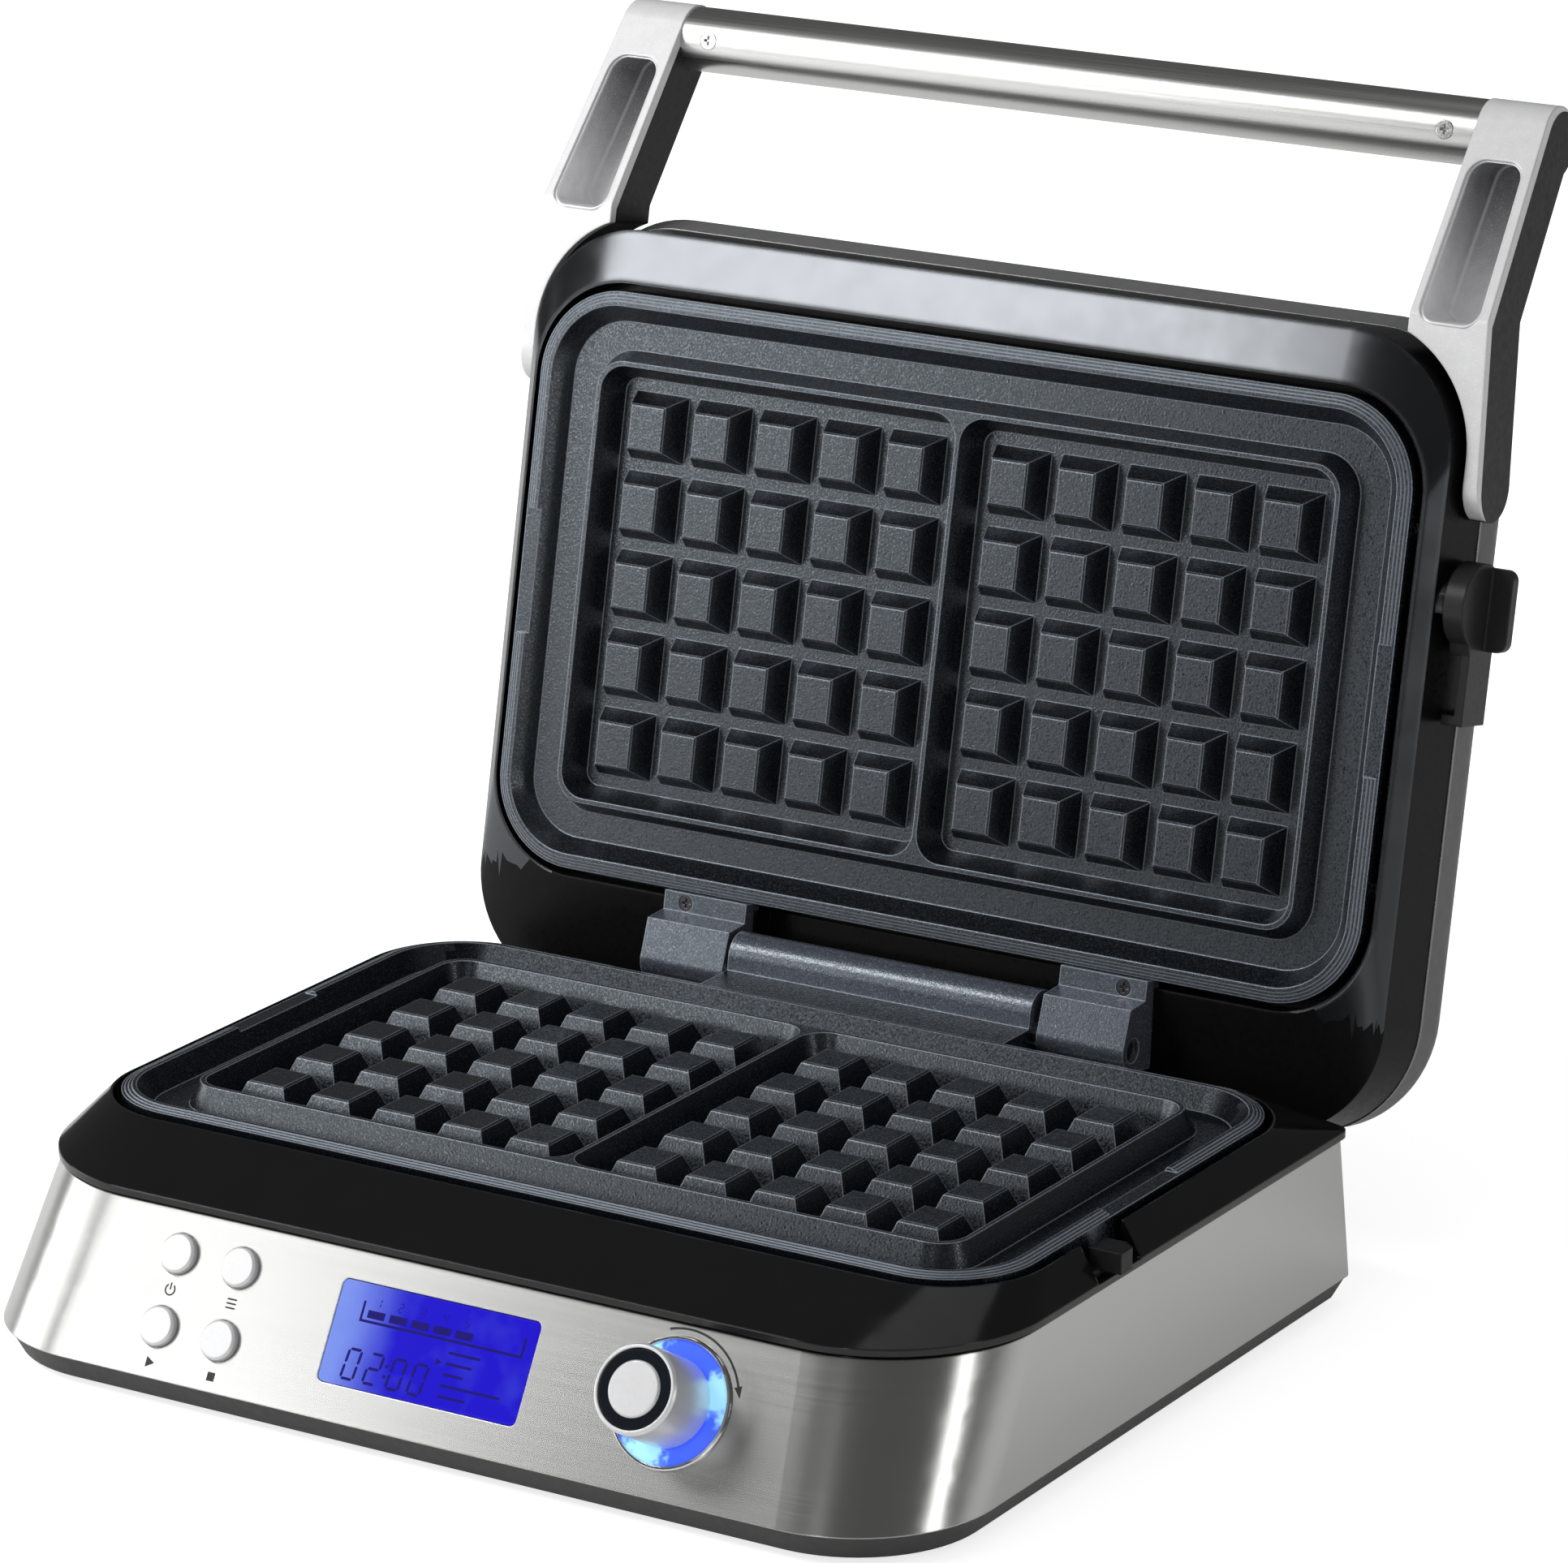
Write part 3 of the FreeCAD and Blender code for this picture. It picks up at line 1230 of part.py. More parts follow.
# Lever on the right side of the lid, in lid coordinates


def lever_pin():
    outer = LID_FLARE.x1 + LEVER_GAP + LEVER_PIN_OUT - MOVING_GAP
    pin = cylinder_x(LEVER_PIN_RADIUS, LID_FLARE.x1 - LEVER_PIN_IN, outer, LEVER_T, LEVER_N)
    return placed(pin, LID_PLACE)


def lock_lever():
    """Hub, flat arm with an inward hook at its end, and a thumb wing on the outside."""
    inner = LID_FLARE.x1 + LEVER_GAP
    outer = lever_outer_x()
    front = LEVER_N + LEVER_ARM_FRONT
    back = LEVER_N - LEVER_ARM_BACK
    hub = cylinder_x(LEVER_HUB_RADIUS, inner, outer, LEVER_T, LEVER_N)
    thick = side_prism(
        [
            (LEVER_T, LEVER_N + LEVER_NECK),
            (LEVER_T - LEVER_STEP, front),
            (LEVER_T - LEVER_STEP, back),
            (LEVER_T, LEVER_N - LEVER_HUB_RADIUS),
        ],
        inner,
        outer,
    )
    tip = LEVER_T - LEVER_HOOK_FAR
    arm = box(outer - LEVER_ARM_THICK, outer, tip, LEVER_T - LEVER_STEP, back, front)
    hook = box(inner - LEVER_HOOK_TUCK, outer, tip, LEVER_T - LEVER_HOOK_NEAR, back, front)
    wing_n = LEVER_N - LEVER_WING_THICK - SHEET
    wing = box(
        outer - LEVER_ARM_THICK,
        outer + LEVER_WING_REACH,
        LEVER_T - LEVER_WING_LOW,
        LEVER_T + LEVER_WING_HIGH,
        wing_n - LEVER_WING_THICK,
        wing_n,
    )
    ends = [e for e in upright_edges(wing) if e.CenterOfMass.x > outer]
    wing = wing.makeFillet(LEVER_WING_CORNER, ends)
    lever = fused([hub, thick, arm, hook, wing])
    bore = cylinder_x(
        LEVER_PIN_RADIUS + RUNNING_FIT, 0, inner + LEVER_PIN_OUT, LEVER_T, LEVER_N
    )
    return placed(lever.cut(bore), LID_PLACE)


# Handle, in lid coordinates

TUBE_T = LID_FLARE.y1 + TUBE_UP
ARM_LOW_X = LID_FLARE.x1 + ARM_LOW_REACH


def arm_outer_x(t):
    return ARM_LOW_X - (t - ARM_LOW_T) * tan(radians(ARM_TAPER_DEG))


def arm_front_n(t):
    """Front face of the leaning part of the arm."""
    return TUBE_N + ARM_END_RADIUS / cos(radians(ARM_SLOPE_DEG)) - (t - TUBE_T) * tan(radians(ARM_SLOPE_DEG))


def arm_profile(x0, x1):
    """Side shape of the arm: upright lower part, leaning upper part, round at both ends."""
    along = (cos(radians(ARM_SLOPE_DEG)), -sin(radians(ARM_SLOPE_DEG)))
    out = (sin(radians(ARM_SLOPE_DEG)), cos(radians(ARM_SLOPE_DEG)))
    top_front = (TUBE_T + out[0] * ARM_END_RADIUS, TUBE_N + out[1] * ARM_END_RADIUS)
    top_back = (TUBE_T - out[0] * ARM_BACK_OFFSET, TUBE_N - out[1] * ARM_BACK_OFFSET)
    bend_t = TUBE_T + (arm_front_n(TUBE_T) - ARM_FRONT_N) / tan(radians(ARM_SLOPE_DEG))
    back_run = (ARM_LOW_N - top_back[1]) / along[1]
    back_bend = (top_back[0] + along[0] * back_run, ARM_LOW_N)
    low_radius = (ARM_FRONT_N - ARM_LOW_N) / 2
    low_t = ARM_LOW_T + low_radius
    blade = side_prism(
        [
            (low_t, ARM_FRONT_N),
            (bend_t, ARM_FRONT_N),
            top_front,
            top_back,
            back_bend,
            (low_t, ARM_LOW_N),
        ],
        x0,
        x1,
    )
    top = cylinder_x(ARM_END_RADIUS, x0, x1, TUBE_T, TUBE_N)
    low = cylinder_x(low_radius, x0, x1, low_t, ARM_FRONT_N - low_radius)
    return fused([blade, top, low])


def arm_trim(inset):
    """Everything that the arm must stay clear of: beyond its leaning outer face, and the lid."""
    low = ARM_LOW_T - FAR
    high = ARM_LOW_T + FAR
    beyond = flat_prism(
        [
            (arm_outer_x(low) - inset, low),
            (arm_outer_x(low) + FAR, low),
            (arm_outer_x(high) + FAR, high),
            (arm_outer_x(high) - inset, high),
        ],
        -FAR,
        FAR,
    )
    lid = prism(grown(LID_FLARE, ARM_LID_FIT), -FAR, FAR)
    return beyond, lid


def pocket_prism(inset):
    """Outline of the pocket in the arm, run along N, with rounded corners."""
    x0 = ARM_INNER_X + POCKET_INNER_WALL + inset
    low = POCKET_LOW_T + inset
    high = POCKET_HIGH_T - inset
    wall = POCKET_OUTER_WALL + inset
    block = flat_prism(
        [(x0, low), (arm_outer_x(low) - wall, low), (arm_outer_x(high) - wall, high), (x0, high)], -FAR, FAR
    )
    return block.makeFillet(POCKET_CORNER - inset, upright_edges(block))


def above_floor(depth):
    """Room in front of a plane parallel to the leaning front face."""
    low = POCKET_LOW_T - POCKET_CORNER
    high = POCKET_HIGH_T + POCKET_CORNER
    return side_prism(
        [(low, arm_front_n(low) - depth), (high, arm_front_n(high) - depth), (high, FAR), (low, FAR)], 0, FAR
    )


def arm_shapes():
    """Right-hand arm: silver face, black core with the spigot for the tube, graphite liner."""
    reach = LID_FLARE.x1 + ARM_LOW_REACH + CUT_EXTRA
    whole = arm_profile(ARM_INNER_X, reach)
    slope = radians(ARM_SLOPE_DEG)
    behind = arm_profile(ARM_INNER_X - CUT_EXTRA, reach + CUT_EXTRA)
    behind.translate(vec(0, -ARM_FACE_THICK * sin(slope), -ARM_FACE_THICK * cos(slope)))
    pocket = pocket_prism(0).common(above_floor(POCKET_DEPTH))
    beyond, lid = arm_trim(0)
    face = whole.cut(behind).cut(beyond).cut(lid).cut(pocket)
    beyond, lid = arm_trim(ARM_SIDE_INSET)
    core = whole.common(behind).cut(beyond).cut(lid).cut(pocket)
    spigot = cylinder_x(
        TUBE_RADIUS - TUBE_WALL - TUBE_FIT, ARM_INNER_X - TUBE_SPIGOT, ARM_INNER_X + SHEET, TUBE_T, TUBE_N
    )
    tube_screw = cylinder_z(SCREW_RADIUS, ARM_INNER_X - TUBE_SCREW_IN, TUBE_T, TUBE_N, FAR)
    core = core.fuse(spigot.cut(tube_screw).cut(face))
    for t in (ARM_SCREW_LOW_T, ARM_SCREW_HIGH_T):
        core = core.cut(cylinder_x(ARM_SCREW_RADIUS, 0, LID_FLARE.x1 + ARM_LOW_REACH / 2, t, ARM_SCREW_N))
    liner = pocket_prism(0).common(above_floor(POCKET_DEPTH)).cut(above_floor(LINER_SINK))
    liner = liner.cut(pocket_prism(LINER_WALL).common(above_floor(POCKET_DEPTH - LINER_WALL)))
    return face.removeSplitter(), core.removeSplitter(), liner


def arm_screws():
    """Screws from inside the lid wall into the arms."""
    screws = []
    for t in (ARM_SCREW_LOW_T, ARM_SCREW_HIGH_T):
        wall = lid_outline(ARM_SCREW_N + ARM_SCREW_RADIUS * 2).x1 - LID_WALL
        head = cylinder_x(ARM_SCREW_RADIUS * 2, wall - 2 * SHEET, wall - SEAT_FIT, t, ARM_SCREW_N)
        shank = cylinder_x(
            ARM_SCREW_RADIUS, wall - SEAT_FIT, LID_FLARE.x1 + ARM_LOW_REACH / 2, t, ARM_SCREW_N
        )
        screws.extend(one_each_side(fused([head, shank])))
    return placed(Part.makeCompound(screws), LID_PLACE)


def tube_screw_profile(z_top):
    """Countersunk head flush with the tube, its shank in the spigot."""
    return [
        (0, z_top),
        (TUBE_SCREW_RADIUS, z_top),
        (SCREW_RADIUS, z_top - TUBE_WALL),
        (SCREW_RADIUS, TUBE_N),
        (0, TUBE_N),
    ]


def handle_tube():
    tube = cylinder_x(TUBE_RADIUS, -ARM_INNER_X, ARM_INNER_X, TUBE_T, TUBE_N)
    tube = tube.cut(cylinder_x(TUBE_RADIUS - TUBE_WALL, -FAR, FAR, TUBE_T, TUBE_N))
    x = ARM_INNER_X - TUBE_SCREW_IN
    head_top = TUBE_N + TUBE_RADIUS
    hole = revolved(tube_screw_profile(head_top), x, TUBE_T)
    above = cylinder_z(TUBE_SCREW_RADIUS, x, TUBE_T, head_top, head_top + CUT_EXTRA)
    return placed(tube.cut(Part.makeCompound(one_each_side(hole.fuse(above)))), LID_PLACE)


def handle_screws():
    x = ARM_INNER_X - TUBE_SCREW_IN
    top = TUBE_N + TUBE_RADIUS
    screw = revolved(tube_screw_profile(top), x, TUBE_T)
    screw = screw.cut(cross_recess(x, TUBE_T, top - CROSS_DEPTH, FAR))
    return placed(Part.makeCompound(one_each_side(screw)), LID_PLACE)


# The whole part


def build():
    parts = {
        "base_tray": base_tray(),
        "rubber_feet": rubber_feet(),
        "base_screws": base_screws(),
        "base_skirt": base_skirt(),
        "rear_panel": rear_panel(),
        "cord_inlet": cord_inlet(),
        "deck_frame": deck_frame(),
        "base_catch": base_catch(),
        "lower_plate": lower_plate(),
        "lower_heater": heater(),
        "lower_reflector": reflector_pan(),
        "lower_sensor": sensor(),
        "hinge_pin": hinge_pin(),
        "power_board": power_board(),
        "control_carrier": control_carrier(),
        "control_board": control_board(),
        "push_switches": push_switches(),
        "display_module": display_module(),
        "display_window": display_window(),
        "light_ring": light_ring(),
        "ring_bezel": ring_bezel(),
        "encoder": encoder(),
        "knob_shaft": knob_shaft(),
        "knob_body": knob_body(),
        "knob_ring": knob_ring(),
        "knob_cap": knob_cap(),
        "lid_frame": placed(lid_frame(), LID_PLACE),
        "lid_trim": placed(lid_trim(), LID_PLACE),
        "lid_cover": placed(lid_cover(), LID_PLACE),
        "lid_screws": lid_screws(),
        "upper_plate": placed(waffle_plate(), LID_PLACE),
        "upper_heater": placed(heater(), LID_PLACE),
        "upper_reflector": placed(reflector_pan(), LID_PLACE),
        "upper_sensor": placed(sensor(), LID_PLACE),
        "hinge_screws": hinge_screws(),
        "lever_pin": lever_pin(),
        "lock_lever": lock_lever(),
        "handle_tube": handle_tube(),
        "handle_screws": handle_screws(),
        "arm_screws": arm_screws(),
    }
    for name, (x, y) in button_places().items():
        parts["button_" + name] = push_button(x, y)
    bracket = hinge_bracket()
    parts["hinge_bracket_right"] = placed(bracket, LID_PLACE)
    parts["hinge_bracket_left"] = placed(mirrored(bracket), LID_PLACE)
    for name, shape in zip(("arm_face", "arm_core", "arm_liner"), arm_shapes()):
        parts[name + "_right"] = placed(shape, LID_PLACE)
        parts[name + "_left"] = placed(mirrored(shape), LID_PLACE)
    return parts


def origin_shift(parts):
    """Vector that brings the middle of the underside of the whole part to the origin."""
    whole = FreeCAD.BoundBox()
    for shape in parts.values():
        whole.add(shape.optimalBoundingBox(False, False))
    return vec(-whole.Center.x, -whole.Center.y, -whole.ZMin)


def main():
    parts = build()
    shift = origin_shift(parts)
    os.makedirs("parts", exist_ok=True)
    for name, shape in parts.items():
        placed(shape, FreeCAD.Placement(shift, FreeCAD.Rotation())).exportStep("parts/" + name + ".step")
    lever = LID_PLACE.multVec(vec(0, LEVER_T, LEVER_N))
    knob = PANEL_PLACE.multVec(vec(KNOB_X, KNOB_UP, 0))
    normal = PANEL_PLACE.Rotation.multVec(Z_AXIS)
    print("shift", tuple(shift))
    print("hinge", tuple(vec(0, HINGE_Y, HINGE_Z) + shift))
    print("lever", tuple(lever + shift))
    print("knob", tuple(knob + shift))
    print("normal", tuple(normal))


main()
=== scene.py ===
import json
import math

import bmesh
import bpy
from mathutils import Matrix, Vector


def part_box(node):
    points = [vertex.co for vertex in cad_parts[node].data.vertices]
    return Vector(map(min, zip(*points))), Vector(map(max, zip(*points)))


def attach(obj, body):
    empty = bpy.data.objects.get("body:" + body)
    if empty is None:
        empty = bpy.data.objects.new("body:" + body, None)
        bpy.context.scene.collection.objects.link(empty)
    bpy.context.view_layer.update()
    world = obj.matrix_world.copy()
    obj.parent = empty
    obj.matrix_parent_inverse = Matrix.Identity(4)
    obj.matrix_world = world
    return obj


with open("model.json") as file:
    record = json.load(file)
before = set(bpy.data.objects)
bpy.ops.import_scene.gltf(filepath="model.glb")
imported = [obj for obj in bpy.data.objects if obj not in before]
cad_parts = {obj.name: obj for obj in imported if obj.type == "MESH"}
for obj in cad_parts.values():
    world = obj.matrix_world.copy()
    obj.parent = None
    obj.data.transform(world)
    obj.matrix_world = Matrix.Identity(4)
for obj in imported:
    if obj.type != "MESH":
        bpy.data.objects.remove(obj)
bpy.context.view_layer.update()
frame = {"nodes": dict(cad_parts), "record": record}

# Places that the pieces are set out from, in metres
PLATE_HALF_DEPTH = 0.0977
STUD_TOP = 0.014
PANEL_LEAN = math.radians(60.35)
PANEL_FOOT = Vector((0.0, -0.1573, -0.062))
LID_MIDDLE = Vector((0.0, 0.1508, 0.11265))
LID_UP = Vector((0.0, 0.1999, 0.9798))
LID_FACE = Vector((0.0, -0.9798, 0.1999))
ACROSS = Vector((1.0, 0.0, 0.0))

# Limits between two finishes on one solid, and where painted shade is laid
LID_FACE_END = -0.0095
LID_FRONT_LEAN = 0.5
LID_FOOT_END = -0.100
# Forward-facing rim walls beyond this depth take a copy of the coat with painted shade
FIELD_HALF_DEPTH = 0.078
RIM_WALL_LEAN = 0.6
BARREL_FROM = 0.108
BARREL_FOOT = 0.0
# Ends of the painted shade in the arm pockets: pale at the foot, dark at the head
POCKET_SHADE_FOOT = 0.118
POCKET_SHADE_HEAD = 0.178

# The view
PICTURE_WIDE = 1932
FOCAL_PIXELS = 8839.1
SENSOR_WIDE = 36.0
CAMERA_PLACE = Vector((1.1434, -1.7908, 0.7513))
CAMERA_TURN = math.radians(31.76)
CAMERA_DROP = math.radians(16.97)
CLIP_START = 0.05
CLIP_END = 50.0

# Display window and its printed layer
DISPLAY_LEFT = -0.0369
DISPLAY_RIGHT = 0.0344
DISPLAY_LOW = 0.0115
DISPLAY_HIGH = 0.0433
DISPLAY_FADE = 0.026
PRINT_THICK = 0.00006
PRINT_SINK = 0.00002
DISPLAY_PROUD = 0.0003

# Seven-segment figures of the clock, with places as shares of the display
DIGIT_HIGH = 0.0092
DIGIT_WIDE = 0.0044
SEGMENT_THICK = 0.0009
SEGMENT_GAP = 0.0002
DIGIT_SLANT = 0.10
DIGITS = {
    "0": "abcdef",
    "1": "bc",
    "2": "abged",
    "3": "abgcd",
    "4": "fgbc",
    "5": "afgcd",
}
CLOCK = "0200"
CLOCK_ACROSS = (0.148, 0.261, 0.378, 0.487)
CLOCK_DOWN = 0.785
COLON_ACROSS = 0.322
COLON_DOWN = (0.73, 0.83)
COLON_HALF = 0.0005

# Row of level bars with small figures over it, and the frame line round the row
LEVELS = "12345"
LEVEL_FIRST = 0.204
LEVEL_STEP = 0.112
LEVEL_DOWN = 0.285
LEVEL_HALF_WIDE = 0.0031
LEVEL_HALF_HIGH = 0.0012
LEVEL_FIGURE_DOWN = 0.165
LEVEL_FIGURE_WIDE = 0.0013
LEVEL_FIGURE_HIGH = 0.0027
LEVEL_FIGURE_THICK = 0.0003
FRAME_LEFT = 0.127
FRAME_RIGHT = 0.954
FRAME_TOP = 0.17
FRAME_FOOT = 0.37
FRAME_LINE = 0.0008

# List of plain lines with a pointer beside it
LIST_ACROSS = 0.60
LIST_DOWN = 0.47
LIST_STEP = 0.105
LIST_SHARES = (0.16, 0.13, 0.10, 0.30, 0.14)
LIST_HALF_HIGH = 0.0004
POINTER_ACROSS = 0.565
POINTER_DOWN = 0.575
POINTER_HALF = 0.0010

# Knob and its printed scale
KNOB_X = 0.0844
KNOB_S = 0.0288
SCALE_RADIUS = 0.0224
SCALE_THICK = 0.0007
SCALE_FROM = math.radians(108)
SCALE_TO = math.radians(24)
SCALE_STEPS = 40
ARROW_LONG = 0.0036
ARROW_WIDE = 0.0026

# Push buttons and the signs under them
BUTTON_X = (-0.0972, -0.0742)
BUTTON_S = (0.039, 0.016)
SYMBOL_DROP = 0.0112
SYMBOL_SIZE = 0.0034
SYMBOL_LINE = 0.0005
SYMBOL_NARROW = 0.8
POWER_FROM = math.radians(125)
POWER_TO = math.radians(415)
POWER_STEPS = 30

# Lamps and room, placed from the middle of the lower stud field
KEY_PLACE = Vector((-0.90, -0.73, 1.09))
KEY_TURN = (48.0, 0.0, 0.0)
KEY_SIZE = (0.80, 0.50)
KEY_POWER = 13.0
FRONT_PLACE = Vector((-1.29, -1.50, 0.47))
FRONT_TURN = (90.0, 0.0, 0.0)
FRONT_SIZE = (0.72, 0.36)
FRONT_POWER = 4.5
PANEL_LAMP_PLACE = Vector((-1.45, -1.50, 0.90))
PANEL_LAMP_TURN = (90.0, 0.0, 0.0)
PANEL_LAMP_SIZE = (0.72, 0.46)
PANEL_LAMP_POWER = 1.7
LEFT_PLACE = Vector((-1.50, -0.55, 0.16))
LEFT_TURN = (0.0, -84.0, 0.0)
LEFT_SIZE = (0.70, 0.90)
LEFT_POWER = 6.0
STRIP_PLACE = Vector((0.22, -1.60, 0.32))
STRIP_TURN = (90.0, 0.0, 0.0)
STRIP_SIZE = (0.14, 0.60)
STRIP_POWER = 1.4
SIDE_PLACE = Vector((1.45, -0.20, 0.30))
SIDE_TURN = (0.0, 80.0, 0.0)
SIDE_SIZE = (0.55, 0.22)
SIDE_POWER = 1.6
TOP_PLACE = Vector((0.15, 0.45, 1.75))
TOP_TURN = (-12.0, 0.0, 0.0)
TOP_SIZE = (1.2, 0.5)
TOP_POWER = 1.0
ROOM_LEVEL = 0.36
ROOM_GLOSS = 0.10

# Floor: its reach, its own glow and what is seen of it in reflections
FLOOR_RADIUS = 6.0
FLOOR_SEGMENTS = 96
FLOOR_NEAR = 0.74
FLOOR_FAR = 1.0
FLOOR_NEAR_END = 0.3
FLOOR_FAR_START = 0.9
FLOOR_GLOSS = 0.22
FLOOR_LEFT_GLOSS = 0.55
FLOOR_LEFT_END = -0.9
FLOOR_LEFT_START = -0.4

# Noise: its roughness and the range that most of its values lie in
NOISE_ROUGH = 0.55
NOISE_LOW = 0.3
NOISE_HIGH = 0.7

# Edges: how far the normal leans there, and the rays that find them
EDGE_START = 0.995
EDGE_FULL = 0.93
EDGE_SAMPLES = 6
SOFT_SAMPLES = 4

# Sockets of the mix node for plain levels and for colours
MIX_LEVELS = (2, 3)
MIX_COLOURS = (6, 7)
MIX_COLOUR_OUT = 2

# Tones of the non-stick coat
COAT = (0.005, 0.006, 0.009)
COAT_FLECK = (0.035, 0.040, 0.055)
# Painted shade: darker flecks and less shine for the forward-facing rim walls
RIM_SHADED_FLECK = (0.020, 0.023, 0.030)
RIM_SHADED_SHINE = 0.16
HINGE_COAT = (0.075, 0.085, 0.108)
HINGE_FLECK = (0.19, 0.21, 0.26)
# Painted highlight along the sharp edges of the coat
EDGE_HIGHLIGHT = (0.34, 0.38, 0.44)


def origin():
    """The middle of the lower stud field, level with the stud tops."""
    low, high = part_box("lower_plate")
    return Vector(((low.x + high.x) / 2, low.y + PLATE_HALF_DEPTH, low.z + STUD_TOP))


ORIGIN = origin()
PANEL = Matrix.Translation(ORIGIN + PANEL_FOOT) @ Matrix.Rotation(PANEL_LEAN, 4, "X")
KNOB_MIDDLE = PANEL @ Vector((KNOB_X, KNOB_S, 0.0))
PANEL_UP = PANEL.to_3x3() @ Vector((0.0, 1.0, 0.0))


def scaled(colour, factor):
    return tuple(factor * part for part in colour)


class Finish:
    """A material with a Principled shader, and short calls for the textures that feed it."""

    def __init__(self, name, **sockets):
        self.material = bpy.data.materials.new(name)
        self.material.use_nodes = True
        self.tree = self.material.node_tree
        self.shader = self.tree.nodes["Principled BSDF"]
        self.normal = None
        for socket, value in sockets.items():
            self.set(socket.replace("_", " "), value)

    def set(self, socket, value):
        field = self.shader.inputs[socket]
        if isinstance(value, tuple):
            value = (*value, 1.0)
        field.default_value = value

    def node(self, kind):
        return self.tree.nodes.new(kind)

    def link(self, source, target):
        self.tree.links.new(source, target)

    def feed(self, source, socket):
        self.link(source, self.shader.inputs[socket])

    def place(self):
        return self.node("ShaderNodeTexCoord").outputs["Object"]

    def stretched(self, scale):
        mapping = self.node("ShaderNodeMapping")
        mapping.inputs["Scale"].default_value = scale
        self.link(self.place(), mapping.inputs["Vector"])
        return mapping.outputs["Vector"]

    def noise(self, scale, detail=3.0, stretch=(1.0, 1.0, 1.0)):
        texture = self.node("ShaderNodeTexNoise")
        texture.inputs["Scale"].default_value = scale
        texture.inputs["Detail"].default_value = detail
        texture.inputs["Roughness"].default_value = NOISE_ROUGH
        self.link(self.stretched(stretch), texture.inputs["Vector"])
        return texture.outputs["Fac"]

    def cells(self, scale):
        texture = self.node("ShaderNodeTexVoronoi")
        texture.inputs["Scale"].default_value = scale
        self.link(self.place(), texture.inputs["Vector"])
        return texture

    def dot(self, first, second):
        """The dot product of a linked vector and another, linked or fixed."""
        node = self.node("ShaderNodeVectorMath")
        node.operation = "DOT_PRODUCT"
        self.link(first, node.inputs[0])
        if isinstance(second, Vector):
            node.inputs[1].default_value = second
        else:
            self.link(second, node.inputs[1])
        return node.outputs["Value"]

    def along(self, start, direction):
        """The distance of a surface point from start along a direction."""
        apart = self.node("ShaderNodeVectorMath")
        apart.operation = "SUBTRACT"
        self.link(self.place(), apart.inputs[0])
        apart.inputs[1].default_value = start
        return self.dot(apart.outputs["Vector"], direction)

    def math(self, operation, first, second=None):
        node = self.node("ShaderNodeMath")
        node.operation = operation
        for field, value in zip(node.inputs, (first, second)):
            if value is None:
                continue
            if isinstance(value, (int, float)):
                field.default_value = value
            else:
                self.link(value, field)
        return node.outputs["Value"]

    def span(self, value, low, high, to_low=0.0, to_high=1.0, smooth=False):
        """A value between low and high, carried over to another range."""
        node = self.node("ShaderNodeMapRange")
        if smooth:
            node.interpolation_type = "SMOOTHSTEP"
        self.link(value, node.inputs["Value"])
        node.inputs["From Min"].default_value = low
        node.inputs["From Max"].default_value = high
        node.inputs["To Min"].default_value = to_low
        node.inputs["To Max"].default_value = to_high
        return node.outputs["Result"]

    def spread(self, noise, to_low, to_high):
        """A noise, spread over a range."""
        return self.span(noise, NOISE_LOW, NOISE_HIGH, to_low, to_high)

    def mix(self, share, first, second):
        node = self.node("ShaderNodeMix")
        node.data_type = "RGBA"
        self.link(share, node.inputs["Factor"])
        for socket, value in zip(MIX_COLOURS, (first, second)):
            if isinstance(value, tuple):
                node.inputs[socket].default_value = (*value, 1.0)
            else:
                self.link(value, node.inputs[socket])
        return node.outputs[MIX_COLOUR_OUT]

    def shape(self, node):
        """Passes the normal through one more node on its way to the shader."""
        if self.normal is not None:
            self.link(self.normal, node.inputs["Normal"])
        self.normal = node.outputs["Normal"]
        self.feed(self.normal, "Normal")

    def bump(self, height, depth, strength=1.0):
        node = self.node("ShaderNodeBump")
        node.inputs["Strength"].default_value = strength
        node.inputs["Distance"].default_value = depth
        self.link(height, node.inputs["Height"])
        self.shape(node)

    def rounding(self, radius, samples):
        node = self.node("ShaderNodeBevel")
        node.samples = samples
        node.inputs["Radius"].default_value = radius
        return node

    def soft_edges(self, radius):
        self.shape(self.rounding(radius, SOFT_SAMPLES))

    def edges(self, radius):
        """One along the sharp edges of a solid and nothing on its open faces."""
        rounded = self.rounding(radius, EDGE_SAMPLES)
        facing = self.node("ShaderNodeNewGeometry")
        lean = self.dot(rounded.outputs["Normal"], facing.outputs["Normal"])
        return self.span(lean, EDGE_START, EDGE_FULL)

    def tint(self, dark, light, scale, detail=3.0, stretch=(1.0, 1.0, 1.0)):
        self.feed(self.mix(self.noise(scale, detail, stretch), dark, light), "Base Color")

    def uneven_gloss(self, low, high, scale, detail=3.0, stretch=(1.0, 1.0, 1.0)):
        self.feed(self.spread(self.noise(scale, detail, stretch), low, high), "Roughness")


def brushed_skirt():
    """Stainless sheet, brushed level all round."""
    finish = Finish("skirt_steel", Metallic=1.0, Anisotropic=0.5, Anisotropic_Rotation=0.25)
    finish.soft_edges(0.0006)
    lines = (9.0, 9.0, 3600.0)
    scratches = (12.0, 12.0, 5200.0)
    finish.tint((0.53, 0.53, 0.52), (0.58, 0.58, 0.565), scale=1.0, detail=4.0, stretch=lines)
    finish.uneven_gloss(0.24, 0.27, scale=1.0, detail=4.0, stretch=lines)
    finish.bump(finish.noise(1.0, detail=2.0, stretch=scratches), depth=0.000006, strength=0.15)
    tangent = finish.node("ShaderNodeTangent")
    tangent.direction_type = "RADIAL"
    tangent.axis = "Z"
    finish.feed(tangent.outputs["Tangent"], "Tangent")
    return finish.material


